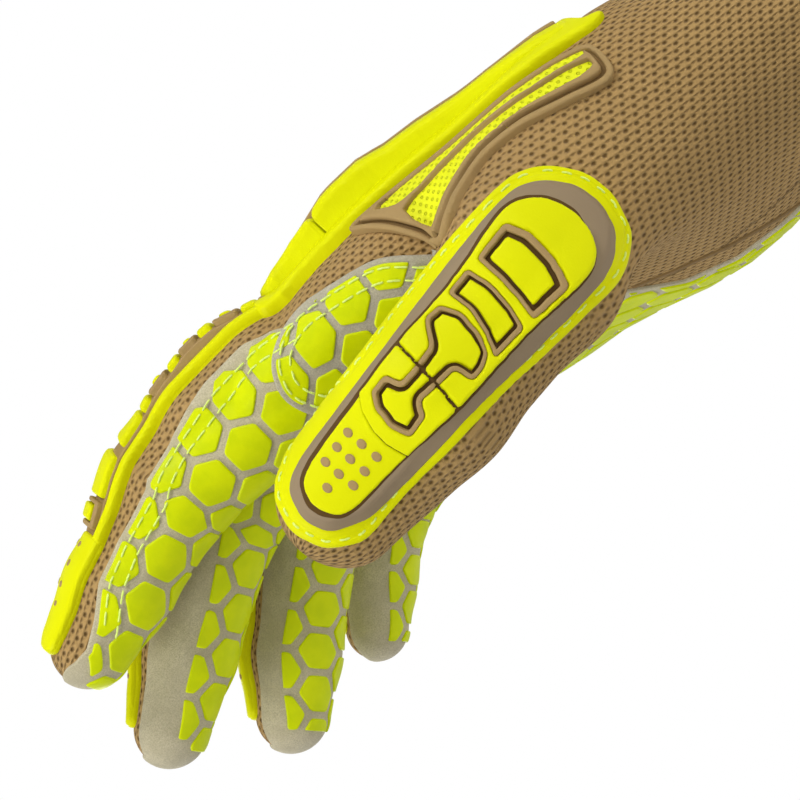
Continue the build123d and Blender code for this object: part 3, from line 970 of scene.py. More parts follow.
def sewing_thread():
    shader = Shader("thread")
    ply = shader.noise(3500, detail=2, rough=0.5)
    # painted glow: the thread's emission gives off a little light of its own
    shader.finish((0.69, 0.85, 0.18), 0.6, shader.bump(ply, distance=0.0001, strength=0.6),
                  Sheen_Weight=0.2, Emission_Color=(0.6, 0.8, 0.08), Emission_Strength=0.05)


def woven(name, dark, light):
    shader = Shader(name)
    weave = shader.node("TexWave", {"Scale": 420, "Distortion": 0.6, "Vector": shader.coord()},
                        bands_direction="Z").outputs[1]
    fibre = shader.noise(2400, detail=3, rough=0.6)
    shader.finish(shader.mix(shader.times(weave, 0.7), dark, light), 0.85,
                  shader.bump(shader.add(weave, fibre), distance=0.0002, strength=0.7),
                  Sheen_Weight=0.2)


knit_shell()
lining_knit()
suede("suede", (0.53, 0.47, 0.30), (0.62, 0.555, 0.37))
suede("suede_rim", (0.46, 0.42, 0.30), (0.54, 0.495, 0.365))
grip_print()
# tpr has a painted glow: its emission makes the rubber give off a little light of its own
rubber("tpr", (0.68, 0.695, 0.0), cloud_scale=70, rough_low=0.46, rough_high=0.56,
       Emission_Color=(0.80, 0.80, 0.0), Emission_Strength=0.06, Specular_IOR_Level=0.08,
       Subsurface_Weight=0.08, Subsurface_Radius=(0.8, 0.8, 0.05), Subsurface_Scale=0.0012)
# the near-black tan is painted shade, for the groove around the thumb guard's island
for name, color in (("tan", (0.38, 0.255, 0.105)), ("tan_deep", (0.0975, 0.0525, 0.015)),
                    # the dark knit colour is a real dark seam on the cuff, and painted shade in the
                    # side vent's gap
                    ("bevel", (0.2925, 0.2175, 0.1325)), ("knit_dark", (0.225, 0.14, 0.0525)),
                    ("knit_seam", (0.33, 0.21, 0.08))):
    rubber(name, color, cloud_scale=90, rough_low=0.58, rough_high=0.66, Specular_IOR_Level=0.1)
vent_mesh()
sewing_thread()
woven("binding", (0.15, 0.10, 0.055), (0.24, 0.16, 0.085))
woven("elastic", (0.10, 0.085, 0.07), (0.20, 0.17, 0.14))


# ------------------------------------------------------------------ the knit body
def surface_nets(low, high, step):
    """Quads over body = 0 inside a box: one vertex in each grid cell that the surface crosses."""
    axes = [np.arange(low[i], high[i] + step, step) for i in range(3)]
    size = [len(axis) for axis in axes]
    dist = np.empty(size)
    y, z = np.meshgrid(axes[1], axes[2], indexing="ij")
    for i, x in enumerate(axes[0]):
        slab = np.stack([np.full(y.size, x), y.ravel(), z.ravel()], 1)
        dist[i] = body(slab).reshape(size[1], size[2])
    cells = (size[0] - 1) * (size[1] - 1) * (size[2] - 1)
    total, count, quads = np.zeros((cells, 3)), np.zeros(cells), []
    strides = np.array([(size[1] - 1) * (size[2] - 1), size[2] - 1, 1])
    for axis in range(3):
        one, two = [i for i in range(3) if i != axis]
        before, after = [slice(None)] * 3, [slice(None)] * 3
        before[axis], after[axis] = slice(0, -1), slice(1, None)
        start, end = dist[tuple(before)], dist[tuple(after)]
        at = np.argwhere((start < 0) != (end < 0))
        at = at[(at[:, one] > 0) & (at[:, two] > 0)
                & (at[:, one] < size[one] - 1) & (at[:, two] < size[two] - 1)]
        start, end = start[tuple(at.T)], end[tuple(at.T)]
        crossing = at.astype(float)
        crossing[:, axis] += start / (start - end)
        corners = []
        for shift_one, shift_two in ((-1, -1), (0, -1), (0, 0), (-1, 0)):
            cell = at.copy()
            cell[:, one] += shift_one
            cell[:, two] += shift_two
            cell = cell @ strides
            corners.append(cell)
            for j in range(3):
                total[:, j] += np.bincount(cell, crossing[:, j], cells)
            count += np.bincount(cell, minlength=cells)
        quad = np.stack(corners, 1)
        flip = (start < 0) == (axis == 1)
        quad[flip] = quad[flip][:, ::-1]
        quads.append(quad)
    used = count > 0
    new = np.cumsum(used) - 1
    verts = total[used] / count[used][:, None] * step + np.array([axis[0] for axis in axes])
    return verts, new[np.concatenate(quads)]


def glove_skin():
    verts, quads = surface_nets((-80, -44, -4), (54, 66, 256), 1.45)
    verts, normals = snap(verts, 3)

    def diagonal(i, j):
        return np.linalg.norm(verts[quads[:, i]] - verts[quads[:, j]], axis=1)

    skin = Mesh(verts, split_quads(quads, diagonal(0, 2) < diagonal(1, 3)), n=normals)
    if (facing(skin) * normals).sum() < 0:
        skin.flip()
    return part(skin, skin.verts[:, 2] - 0.3)[0]


def halve(mesh):
    """Midpoint subdivision, with the new points put on the surface."""
    tris, size = mesh.tris, len(mesh.verts)
    edges = np.sort(np.concatenate([tris[:, [0, 1]], tris[:, [1, 2]], tris[:, [2, 0]]]), 1)
    keys, back = np.unique(edges[:, 0] * size + edges[:, 1], return_inverse=True)
    middle, normals = snap((mesh.verts[keys // size] + mesh.verts[keys % size]) / 2, 1)
    back = back.ravel() + size
    count = len(tris)
    x, y, z = back[:count], back[count:2 * count], back[2 * count:]
    return Mesh(np.concatenate([mesh.verts, middle]),
                np.concatenate([np.stack([tris[:, 0], x, z], 1), np.stack([x, tris[:, 1], y], 1),
                                np.stack([z, y, tris[:, 2]], 1), np.stack([x, y, z], 1)]),
                n=np.concatenate([mesh.data["n"], normals]))


def nearest_finger(points):
    return np.stack([finger_dist(points, f) for f in FINGERS], 1).argmin(1)


def add_knit_coords(mesh):
    """ku, kv on the hand, tu, tv on the digit, and tm, how far each vertex is on a digit."""
    points = mesh.verts
    _, angle = hand_around(points)
    nearest = nearest_finger(points)
    tu, tv, tm = (np.zeros(len(points)) for _ in range(3))
    for i, finger in enumerate(FINGERS):
        k = nearest == i
        if k.any():
            along, around, _ = digit_place(points[k], finger)
            tu[k], tv[k] = along + 165, around
            tm[k] = ease(-7, 5, BONES[finger][0].local(points[k])[0])
    zone = thumb_zone(points)
    k = zone > -4
    along, around, _ = digit_place(points[k], "thumb")
    side = ease(24, 30, np.abs(around))
    tu[k], tv[k] = along, around
    tm[k] = ((1 - side) * ease(46, 50, along) * ease(-3, 1, zone[k])
             + side * ease(0, 7, zone[k]))
    # kv keeps to one angle, so the columns of the knit run straight down the hand
    mesh.data.update(ku=points[:, 2], kv=np.interp(angle, ANGLES, HAND_ARC), tu=tu, tv=tv, tm=tm)


# ------------------------------------------------------------------ leather palm
# Edges of the leather on the index finger, as (S, |W|)
INDEX_THUMB_EDGE = [
    (-12, 17.5), (-4.9, 14.0), (10.1, 10.5), (21.1, 10.4), (32.2, 12.1), (43.0, 15.4),
    (54.7, 14.0), (62.7, 14.1), (70.4, 15.4), (76, 15.8), (79.5, 14.9), (84.1, 11.5), (86, 6),
    (87.5, 0)]
INDEX_MIDDLE_EDGE = [(0, 15.0), (70, 15.2), (79.5, 14.5), (84.1, 11.2), (86, 6), (87.5, 0)]
# Edge angles on the other fingers, in degrees: thumb side, pinky side
SIDE_ANGLES = {"middle": (63, -63), "ring": (62, -62), "pinky": (62, -80)}
# x of the leather's thumb-side border on the palm, as (z, x)
THUMB_BORDER = [(60, 16), (75, 14), (85, 12), (95, 10), (105, 6), (115, -6), (125, -24),
                (135, -40), (145, -48), (200, -60)]


def leather(points):
    """Field of the leather palm."""
    around, _ = hand_around(points)
    z = points[:, 2]
    field = np.minimum(np.abs(around) - np.where(around > 0, 57.0, 54.0), z - 72.5)
    field = soft_min(field, (points[:, 0] - track(z, THUMB_BORDER)) * 0.75, 3.0)
    nearest = nearest_finger(points)
    for i, finger in enumerate(FINGERS):
        k = (nearest == i) & (z > 140)
        if not k.any():
            continue
        along, around, angle = digit_place(points[k], finger)
        if finger == "index":
            edge = np.where(around > 0, around - track(along, INDEX_THUMB_EDGE),
                            -around - track(along, INDEX_MIDDLE_EDGE))
        else:
            thumbward, pinkyward = SIDE_ANGLES[finger]
            per_degree = 0.155 * BONES[finger][0].start_size / 2 / 10 * 1.1
            edge = np.where(angle > 0, np.degrees(angle) - thumbward,
                            pinkyward - np.degrees(angle)) * per_degree
        wrap = digit_length(finger) + (7.8 if finger == "index" else 6.2)   # over the fingertip
        edge = np.maximum(edge, (along - wrap) * 0.8)
        on_finger = ease(-8, 5, BONES[finger][0].local(points[k])[0])
        field[k] = field[k] * (1 - on_finger) + edge * on_finger
    return field


LEATHER_TOP = 0.55
skin = halve(glove_skin())
add_knit_coords(skin)
skin.data["N"] = skin.data["n"].copy()
add_piece("knit", skin, "knit")
add_raised("leather", Mesh(skin.verts, skin.tris, **{k: skin.data[k] for k in ("n", "ku", "kv")}),
           np.minimum(leather(skin.verts), 1.5 - thumb_zone(skin.verts)), LEATHER_TOP, "suede",
           bevel=0.5)

# ------------------------------------------------------------------ honeycomb print
PRINT_TOP = LEATHER_TOP + 0.42
PRINT = dict(top=PRINT_TOP, material="print", bevel=0.32, base=LEATHER_TOP - 0.25,
             rings=(0.35, 1.0))
# Edge of the print as (S, W), the same on both sides of the finger
PRINT_EDGE = {
    "middle": [(0, 22.5), (34.5, 21.4), (56.6, 21.0), (66.8, 19.7), (75.5, 18.0), (84, 17.4),
               (92, 17.4)],
    "ring": [(0, 21.5), (30, 19.8), (46.8, 18.0), (60.9, 15.8), (74, 14.2), (86, 14.6)],
    "pinky": [(0, 22.5), (30, 21.0), (45.8, 19.6), (56.4, 17.6), (68.7, 15.1), (76, 15.1)]}
# S of a cell's middle, and the pitch of the cells
LATTICE = {"middle": (43.1, 9.35), "ring": (51.2, 8.8), "pinky": (45.0, 8.6)}


def finger_print(finger):
    length = digit_length(finger)
    half_girth = math.pi * BONES[finger][0].start_size / 2
    low, high = 12.0, 2 * half_girth - 12.0
    if finger == "index":
        low, high = 8.0, half_girth + 12.0
    patch, along, around = grid(on_digit(finger), -9.0, length + 6.5, low, high, 0.55)
    # W of the middle of the palm side, sampled at 40 places
    stations, passed = [(0, half_girth)], 0
    for bone in BONES[finger]:
        passed += bone.length
        stations.append((passed, math.pi * (bone.widths[1] + bone.depths[1]) / 2))
    samples = np.linspace(-10, length + 8, 40)
    middle = np.interp(along, samples, track(samples, stations))
    if finger == "index":
        limits = [hexes(along, around, 22.7, 24.5), leather(patch.verts) - 1.15,
                  middle + 9.0 - around,
                  np.where(along > 76.5, around - 16.4 - (along - 76.5) * 0.75, 5.0),
                  length + 6.2 - along, along + 4.0]
    else:
        edge = track(along, PRINT_EDGE[finger])
        start, pitch = LATTICE[finger]
        folded = np.minimum(around, 2 * middle - around)
        limits = [hexes(along, around - edge, start, -0.5, pitch, pitch / 2 - 0.72),
                  folded - edge, length + 3.0 - along, along - 2.0]
    add_raised(f"grip_print_{finger}", patch, np.minimum.reduce(limits), **PRINT,
               keep={f"{finger}_knuckle", f"{finger}_middle", f"{finger}_tip", "hand"})


# Outline of the pad at the heel of the palm: S, and W from the middle of the palm
HEEL = [(74.5, -40), (74.5, 4), (96, 6), (116, -4), (120, -26), (108, -44), (88, -48)]


def palm_print():
    patch, along, around = grid(on_hand, 74.0, 163.0, PALM_W - 60, PALM_W + 58, 0.8)
    on_leather = np.minimum(leather(patch.verts), 0.5 - thumb_zone(patch.verts))
    past_knuckle = np.stack([BONES[f][0].local(patch.verts)[0] for f in FINGERS], 1)
    past_knuckle = past_knuckle[np.arange(len(along)), nearest_finger(patch.verts)]
    cells = hexes(along, around, 100.0, PALM_W)
    heel = polygon(along, around, soften([(s, PALM_W + w) for s, w in HEEL], 3))
    add_raised("grip_print_palm", patch,
               np.minimum.reduce([cells, on_leather - 1.15, 0.2 - past_knuckle, -heel - 0.9]),
               **PRINT)
    add_raised("palm_heel_pad", patch, np.minimum(heel, on_leather - 0.8), 1.25, "suede",
               bevel=0.6, base=0.2)
    add_raised("palm_heel_print", patch,
               np.minimum.reduce([cells, heel - 3.0, on_leather - 2.0]), 1.6, "print",
               bevel=0.3, base=1.0)


# Patch between thumb and index finger: S, W on the hand
CROTCH = soften([
    (130.2, 63.7), (136.5, 58.8), (142.8, 54.6), (148.6, 53.0), (154.7, 52.0), (161, 50.2),
    (166.8, 49.5), (170.6, 50.6), (173.3, 52.8), (175.6, 57.5), (173.7, 64.2), (168, 72),
    (159, 80), (148, 84), (138, 83), (130, 76), (127.5, 69)])


def crotch_patch():
    patch, along, around = grid(on_hand, 122.0, 181.0, 44.0, 92.0, 0.5)
    field = polygon(along, around, CROTCH)
    add_raised("crotch_patch", patch, field, 1.15, "suede_rim", bevel=0.5, base=0.0)
    cells = hexes(along, around, 152.6, 56.7, pitch=9.9, radius=4.2)
    add_raised("crotch_print", patch, np.minimum(cells, field - 1.25), 1.5, "print",
               bevel=0.32, base=0.9)


for finger in FINGERS:
    finger_print(finger)
palm_print()
crotch_patch()


# ------------------------------------------------------------------ stitches
# Profile of a thread loop: place along it, and radius, as shares
THREAD_PROFILE = ((-0.02, 0.25), (0.04, 0.8), (0.2, 1.0), (0.5, 1.08), (0.8, 1.0), (0.96, 0.8),
                  (1.02, 0.25))


def capsules(start, end, radius=0.21, sides=6):
    """Small thread loops from start to end, as one mesh."""
    along = end - start
    length = np.linalg.norm(along, axis=1)[:, None]
    along = along / (length + 1e-9)
    other = np.where(np.abs(along[:, 2:3]) < 0.9, np.array([[0, 0, 1.0]]),
                     np.array([[1.0, 0, 0]]))
    x = unit_rows(np.cross(along, other), 0)
    y = np.cross(along, x)
    rows = []
    for place, share in THREAD_PROFILE:
        centre = start + along * length * place
        rows.append(np.stack([centre + radius * share * (math.cos(t) * x + math.sin(t) * y)
                              for t in np.linspace(0, 2 * math.pi, sides, endpoint=False)], 1))
    rows = np.stack(rows, 1)
    count, rings = rows.shape[:2]
    i, j, k = np.meshgrid(np.arange(count), np.arange(rings - 1), np.arange(sides), indexing="ij")
    here = (i * rings * sides + j * sides + k).ravel()
    beside = (i * rings * sides + j * sides + (k + 1) % sides).ravel()
    return Mesh(rows.reshape(-1, 3),
                np.concatenate([np.stack([here, beside, beside + sides], 1),
                                np.stack([here, beside + sides, here + sides], 1)]))


def seam(put, path, height, stitch=2.5, gap=0.8, phase=0.0, closed=False):
    """Stitches along a run of (S, W) points."""
    path = np.array(path, float)
    if closed:
        path = np.concatenate([path, path[:1]])
    run = np.concatenate([[0], np.cumsum(np.linalg.norm(np.diff(path, axis=0), axis=1))])
    starts = np.arange(phase, run[-1] - stitch, stitch + gap)
    spots = []
    for share, lift in ((0.0, -0.1), (0.5, 0.12), (1.0, -0.1)):
        at = starts + stitch * share
        points, normals = put(np.interp(at, run, path[:, 0]), np.interp(at, run, path[:, 1]))
        spots.append(points + normals * (height + lift))
    start, middle, end = spots
    return join([capsules(start, middle + (middle - start) * 0.04), capsules(middle, end)])


places = np.linspace(-4, 73, 80)
add_piece("index_seam_thread", join([
    seam(on_digit("index"), np.column_stack([places, track(places, INDEX_THUMB_EDGE) + offset]),
         PRINT_TOP + 0.12, phase=phase)
    for offset, phase in ((2.4, 0.0), (4.9, 1.4))]), "thread")
add_piece("crotch_patch_thread", join([
    seam(on_hand, inset(CROTCH, offset), 1.6, phase=phase, closed=True)
    for offset, phase in ((2.1, 0.0), (4.4, 1.5))]), "thread")


# ------------------------------------------------------------------ thumb guard
def outline(text):
    """Points from a table of "S W" pairs."""
    return np.array([pair.split() for pair in text.split(",")], float)


# Closed outlines on the thumb, as S and W pairs
FLANGE = soften(outline("""
34.9 -8.2, 33.4 -6.5, 32.5 -4.9, 31.8 -3.4, 31.0 -1.9, 30.5 0.3, 30.5 1.5, 30.5 2.7, 30.4 3.9,
30.6 5.1, 30.9 6.3, 31.5 7.4, 32.1 8.6, 32.5 9.8, 33.2 11.2, 34.2 11.9, 35.1 12.3, 36.8 12.8,
37.8 13.0, 39.4 13.2, 40.5 13.2, 42.2 13.1, 43.3 12.8, 45.1 12.3, 46.7 12.0, 47.8 11.8,
49.0 11.7, 50.3 11.7, 51.7 11.6, 53.2 11.6, 54.8 11.5, 56.4 11.4, 58.0 11.3, 59.8 11.1,
61.4 10.8, 63.1 10.5, 64.7 10.2, 66.5 9.9, 68.2 9.6, 69.7 9.2, 71.0 9.0, 72.2 8.7, 73.4 8.5,
74.5 8.3, 75.6 8.1, 76.7 8.0, 77.8 8.0, 79.0 8.0, 80.2 8.0, 81.6 8.1, 82.9 8.1, 84.5 8.2,
86.1 8.2, 87.8 8.2, 89.3 8.2, 90.8 8.1, 92.4 8.1, 93.9 8.1, 96.5 8.1, 98.1 8.1, 99.6 8.2,
101.3 8.1, 103.4 7.8, 104.6 7.2, 106.3 5.9, 107.4 5.0, 108.7 3.7, 109.4 1.9, 109.8 -0.1,
110.3 -2.4, 110.2 -5.3, 109.6 -7.2, 109.0 -9.1, 108.1 -10.9, 107.2 -11.6, 106.3 -12.5,
104.7 -13.5, 103.2 -14.4, 101.7 -16.2, 100.3 -17.6, 99.3 -19.6, 97.5 -19.6, 95.8 -19.4,
94.1 -19.0, 92.5 -18.6, 93.8 -20.4, 90.6 -20.4, 88.5 -20.4, 86.5 -19.2, 84.8 -18.4, 82.9 -16.6,
81.3 -15.7, 79.9 -15.2, 78.2 -14.8, 76.7 -14.6, 75.1 -14.7, 73.9 -14.9, 72.6 -15.2, 71.3 -15.5,
69.9 -16.0, 68.4 -16.4, 66.9 -16.5, 65.2 -16.4, 63.6 -16.2, 61.9 -16.1, 60.6 -15.9, 59.2 -15.8,
57.7 -15.6, 56.3 -15.3, 54.9 -14.9, 53.5 -14.4, 52.0 -13.9, 50.7 -13.4, 49.5 -13.0, 48.5 -12.6,
47.4 -12.3, 46.4 -12.0, 45.5 -11.7, 44.3 -11.4, 43.0 -11.2, 42.0 -11.1, 41.0 -10.9, 39.8 -10.8,
38.0 -10.3, 37.1 -9.7, 36.0 -9.1"""), 1)
BEVEL = soften(outline("""
36.7 -3.7, 36.1 -2.6, 35.4 -1.5, 35.0 0.2, 35.0 1.6, 34.9 3.1, 35.4 5.0, 36.2 6.2, 36.8 7.5,
38.1 8.6, 39.4 9.1, 40.5 9.7, 42.0 10.0, 43.0 10.0, 44.0 10.1, 44.9 10.0, 45.7 9.9, 46.8 9.8,
47.9 9.7, 49.1 9.7, 50.4 9.7, 51.8 9.7, 53.3 9.6, 54.9 9.6, 56.5 9.6, 58.2 9.6, 60.0 9.5,
61.8 9.3, 63.4 9.1, 65.1 8.8, 66.9 8.6, 68.6 8.3, 69.9 8.1, 71.2 7.8, 72.3 7.6, 73.4 7.4,
74.5 7.2, 75.5 7.1, 76.6 7.0, 77.6 6.9, 78.7 6.9, 79.9 6.9, 81.1 6.9, 82.5 6.9, 84.0 7.0,
85.7 7.0, 87.4 7.0, 89.0 6.9, 90.4 6.7, 91.9 6.6, 94.5 6.4, 96.2 6.2, 97.9 6.0, 99.7 5.6,
101.5 4.7, 103.0 3.9, 104.1 3.3, 105.1 2.6, 106.1 1.3, 106.5 -0.1, 106.9 -1.6, 106.9 -3.5,
106.4 -5.0, 105.9 -6.4, 105.2 -7.8, 103.8 -9.0, 102.4 -9.6, 101.1 -9.9, 99.8 -10.2, 98.3 -10.4,
96.9 -10.5, 95.5 -10.6, 94.0 -10.7, 92.6 -10.7, 91.1 -10.8, 89.6 -10.8, 88.2 -10.9, 86.6 -11.0,
84.9 -10.9, 83.3 -10.7, 81.8 -10.5, 80.4 -10.3, 79.1 -10.2, 78.0 -10.1, 76.9 -10.0, 75.9 -10.0,
74.9 -10.1, 73.8 -10.2, 72.7 -10.4, 71.5 -10.6, 70.3 -10.8, 69.0 -11.0, 67.5 -11.2, 66.0 -11.3,
64.6 -11.3, 63.2 -11.2, 61.9 -11.2, 60.6 -11.2, 59.2 -11.2, 57.7 -11.1, 56.2 -10.9, 54.8 -10.7,
53.5 -10.4, 52.2 -10.2, 51.0 -9.9, 49.9 -9.7, 48.8 -9.5, 47.8 -9.3, 46.9 -9.2, 46.0 -9.0,
45.2 -8.8, 44.4 -8.7, 43.3 -8.5, 42.0 -8.3, 40.7 -7.9, 39.3 -6.9, 38.5 -6.2, 37.4 -4.9"""), 1)
ISLAND = soften(outline("""
42.3 -4.2, 41.8 -3.4, 41.5 -2.8, 41.3 -2.0, 41.1 -1.2, 41.0 -0.0, 40.9 0.8, 40.9 1.8, 41.1 2.8,
41.4 4.1, 41.7 4.8, 42.1 5.5, 42.5 6.1, 43.0 6.7, 43.4 7.0, 44.0 7.3, 44.5 7.5, 45.3 7.6,
46.1 7.6, 47.3 7.6, 47.9 7.5, 48.6 7.5, 49.5 7.4, 50.4 7.4, 51.4 7.3, 52.5 7.3, 53.7 7.2,
55.0 7.2, 56.5 7.2, 57.9 7.1, 59.3 7.1, 61.2 7.0, 62.8 6.8, 64.0 6.8, 65.2 6.7, 66.9 6.5,
68.3 6.4, 69.5 6.2, 70.5 6.1, 71.8 5.9, 72.9 5.7, 73.7 5.6, 74.6 5.5, 75.4 5.3, 76.2 5.2,
76.9 5.1, 77.7 4.9, 78.6 4.8, 79.6 4.7, 80.6 4.6, 81.7 4.4, 83.0 4.2, 84.8 4.1, 86.8 3.8,
88.6 3.6, 90.1 3.4, 91.5 3.2, 92.9 3.1, 94.3 3.0, 95.5 2.9, 96.7 2.8, 98.8 2.6, 100.1 2.3,
101.2 1.9, 101.9 1.5, 102.5 0.9, 103.0 0.2, 103.6 -1.0, 103.7 -1.8, 103.8 -2.7, 103.6 -3.5,
103.1 -4.5, 102.6 -5.2, 102.0 -5.8, 101.4 -6.2, 100.3 -6.6, 99.3 -6.8, 97.8 -7.1, 96.3 -7.2,
95.0 -7.3, 93.8 -7.4, 92.0 -7.5, 89.9 -7.6, 88.1 -7.7, 86.5 -7.7, 84.8 -7.6, 82.7 -7.5,
81.5 -7.4, 80.4 -7.3, 79.4 -7.2, 78.4 -7.2, 77.5 -7.2, 76.6 -7.2, 75.8 -7.2, 75.0 -7.2,
74.0 -7.3, 72.9 -7.3, 71.8 -7.4, 70.8 -7.5, 69.7 -7.5, 68.5 -7.5, 67.2 -7.5, 65.7 -7.5,
64.4 -7.4, 63.3 -7.4, 62.1 -7.3, 60.9 -7.2, 58.7 -7.1, 57.1 -7.1, 55.6 -6.9, 53.8 -6.8,
52.1 -6.6, 50.8 -6.6, 49.3 -6.6, 48.3 -6.6, 47.3 -6.5, 46.5 -6.5, 45.5 -6.4, 44.9 -6.3,
44.3 -6.1, 43.9 -5.9, 43.3 -5.5, 43.0 -5.1, 42.6 -4.7"""), 1)
# Three rings let into the island, from the tip end towards the wrist
RINGS = [soften(outline(text), 1, 0.2) for text in ("""
73.5 -3.3, 72.9 -3.3, 72.2 -3.4, 71.4 -3.4, 70.7 -3.8, 70.1 -4.4, 69.4 -5.1, 68.6 -5.8,
67.8 -6.4, 66.7 -6.8, 65.0 -6.6, 63.7 -6.4, 63.2 -5.9, 62.9 -5.1, 62.6 -4.2, 62.3 -3.4,
62.3 -2.5, 62.5 -1.7, 62.8 -1.0, 63.0 -0.2, 63.2 0.6, 63.6 1.4, 64.1 2.2, 64.7 3.4, 65.4 4.3,
66.2 4.7, 67.5 5.0, 68.6 5.2, 69.3 5.2, 70.3 5.1, 71.1 4.9, 71.4 4.5, 71.5 3.7, 71.5 2.6,
71.6 1.5, 72.0 1.1, 72.7 1.0, 73.4 0.9, 74.1 0.8, 74.8 0.7, 75.4 0.5, 76.1 0.4, 76.7 0.2,
77.1 0.4, 77.6 1.0, 78.0 1.7, 78.5 2.0, 79.4 2.0, 80.2 2.1, 81.2 2.1, 81.7 1.8, 82.0 1.0,
82.2 0.3, 82.4 -0.4, 82.5 -1.2, 82.2 -2.0, 82.0 -2.8, 81.9 -3.6, 81.6 -4.2, 80.9 -5.0,
80.3 -5.7, 79.8 -5.9, 79.0 -5.8, 78.3 -5.8, 77.6 -5.7, 77.2 -5.4, 77.0 -4.5, 76.8 -3.6,
76.5 -3.3, 75.8 -3.3, 75.1 -3.2, 74.2 -3.3""", """
60.1 -6.4, 58.9 -6.4, 57.7 -6.3, 56.6 -6.2, 55.6 -6.1, 54.6 -6.0, 54.1 -5.6, 54.1 -4.7,
54.1 -3.8, 54.0 -3.0, 54.0 -2.2, 54.1 -1.4, 54.3 -0.6, 54.6 0.2, 54.8 1.0, 55.1 1.8, 55.3 3.0,
55.7 4.0, 56.1 4.9, 56.5 5.6, 56.9 6.2, 57.8 6.5, 59.1 6.4, 60.4 6.3, 61.5 6.2, 62.5 6.1,
63.6 6.0, 64.6 5.9, 65.2 5.6, 64.5 4.9, 64.0 4.2, 63.5 3.2, 63.0 2.1, 62.6 1.4, 62.2 0.5,
61.8 -0.3, 61.4 -1.1, 61.0 -1.9, 60.8 -2.7, 60.8 -3.5, 60.7 -4.3, 60.7 -5.2, 60.6 -6.0""", """
51.1 -5.5, 50.3 -5.4, 49.6 -5.4, 48.9 -5.3, 48.2 -5.2, 47.6 -5.2, 47.0 -5.1, 46.4 -5.1,
45.9 -4.8, 45.8 -4.0, 45.7 -3.3, 45.6 -2.6, 45.5 -2.0, 45.5 -1.3, 45.6 -0.6, 45.7 0.1,
45.8 0.9, 45.9 1.6, 46.0 2.7, 46.2 3.8, 46.5 4.5, 46.7 5.2, 47.0 5.8, 47.3 6.3, 47.5 6.8,
48.1 7.0, 48.7 7.0, 49.3 6.9, 49.9 6.9, 50.6 6.8, 51.3 6.8, 52.1 6.8, 52.9 6.7, 53.8 6.7,
54.5 6.4, 54.2 5.7, 53.9 5.0, 53.6 4.1, 53.3 3.1, 53.1 1.9, 53.0 1.1, 52.8 0.3, 52.6 -0.4,
52.4 -1.2, 52.3 -1.9, 52.2 -2.7, 52.1 -3.5, 51.9 -4.3, 51.8 -5.2""")]
# Where the raised island gives way to the lower tip, as (W, S)
TIP_ARC = [(-9, 80.4), (-7.4, 81.6), (-5.4, 83.6), (-2.5, 85.1), (0.2, 85.5), (4.4, 84.5),
           (6, 83.6)]
THUMB_DOTS = [(89.2, -5.4), (92.6, -5.3), (89.1, -2.7), (96.1, -5.2), (92.6, -2.6), (89.1, 0.2),
              (96.1, -2.5), (92.6, 0.2), (99.5, -2.5), (96.0, 0.2)]
ROUND_EDGE = (0.2, 0.5, 1.0)             # edge loops for a well rounded bevel
FULL_EDGE = (0.15, 0.4, 0.7, 1.0)
DOT_EDGE = (0.4, 1.0)


def flange_top(data):
    """The flange with a shallow groove for the stitches."""
    return 1.9 - 0.25 * ease(1.3, 1.7, data["f"]) * (1 - ease(2.2, 2.6, data["f"]))


def thumb_guard():
    put = on_digit("thumb")
    patch, along, around = grid(put, 28.5, 112.5, -17.0, 14.5, 0.37)
    flange, skirt, island = (polygon(along, around, shape) for shape in (FLANGE, BEVEL, ISLAND))
    rings = np.maximum.reduce([polygon(along, around, ring) for ring in RINGS])
    tip_start = track(around, TIP_ARC)
    slit = np.abs(along - (73.3 + 0.16 * (around + 7.3))) - 0.21     # a thin cut across
    bed = np.minimum(island + 0.8 - 0.5 * ease(0, 5, around), skirt - 0.4)

    def add(suffix, *limits, top, material="tpr", **shape):
        add_raised(f"thumb_guard_{suffix}", patch, np.minimum.reduce(limits), top, material,
                   **shape)

    add("flange", flange, top=flange_top, bevel=0.8, base=-0.2, rings=(0.3, 1.0, 1.6, 2.0, 2.7))
    add("bevel", skirt, flange - 1.2, top=lambda data: 2.3 + 1.5 * ease(0.1, 2.4, data["f"]),
        material="bevel", bevel=0.5, base=0.8, rings=(0.3, 1.0, 2.2, 3.4))
    # the bed shows only as a dark band in the groove between island and bevel: its near-black tan is
    # painted shade
    add("bed", bed, top=3.86, material="tan_deep", bevel=0.2, base=1.0)
    add("island", island, -rings, tip_start - along, slit, top=5.0, bevel=0.5, base=2.8,
        rings=(0.3, 0.7, 1.0))
    add("cores", rings - 1.3, slit, top=4.85, base=2.8)
    add("rings", rings - 0.02, 0.72 - rings, slit, top=5.05, material="tan", bevel=0.22,
        base=2.8, rings=DOT_EDGE)
    add("tip", island, along - tip_start - 0.3, top=4.2, bevel=0.5, base=2.6,
        rings=(0.3, 0.7, 1.0))
    add("dots", dots(along, around, THUMB_DOTS, 0.88), top=4.45, material="tan", bevel=0.3,
        base=3.4, rings=DOT_EDGE)
    add_piece("thumb_guard_thread", seam(put, inset(FLANGE, 1.5, per_point=True), 1.75,
                                         stitch=1.7, gap=1.5, closed=True), "thread")


thumb_guard()

# ------------------------------------------------------------------ finger guards
# Height of the crest, as (S, height); S is on the index finger's scale here and below
CREST = [(-2, 2.5), (3, 2.7), (7, 3.0), (10, 3.6), (14, 4.8), (18, 5.1), (21, 5.1), (26, 4.3),
         (39, 4.05), (50, 3.8), (56, 2.8)]
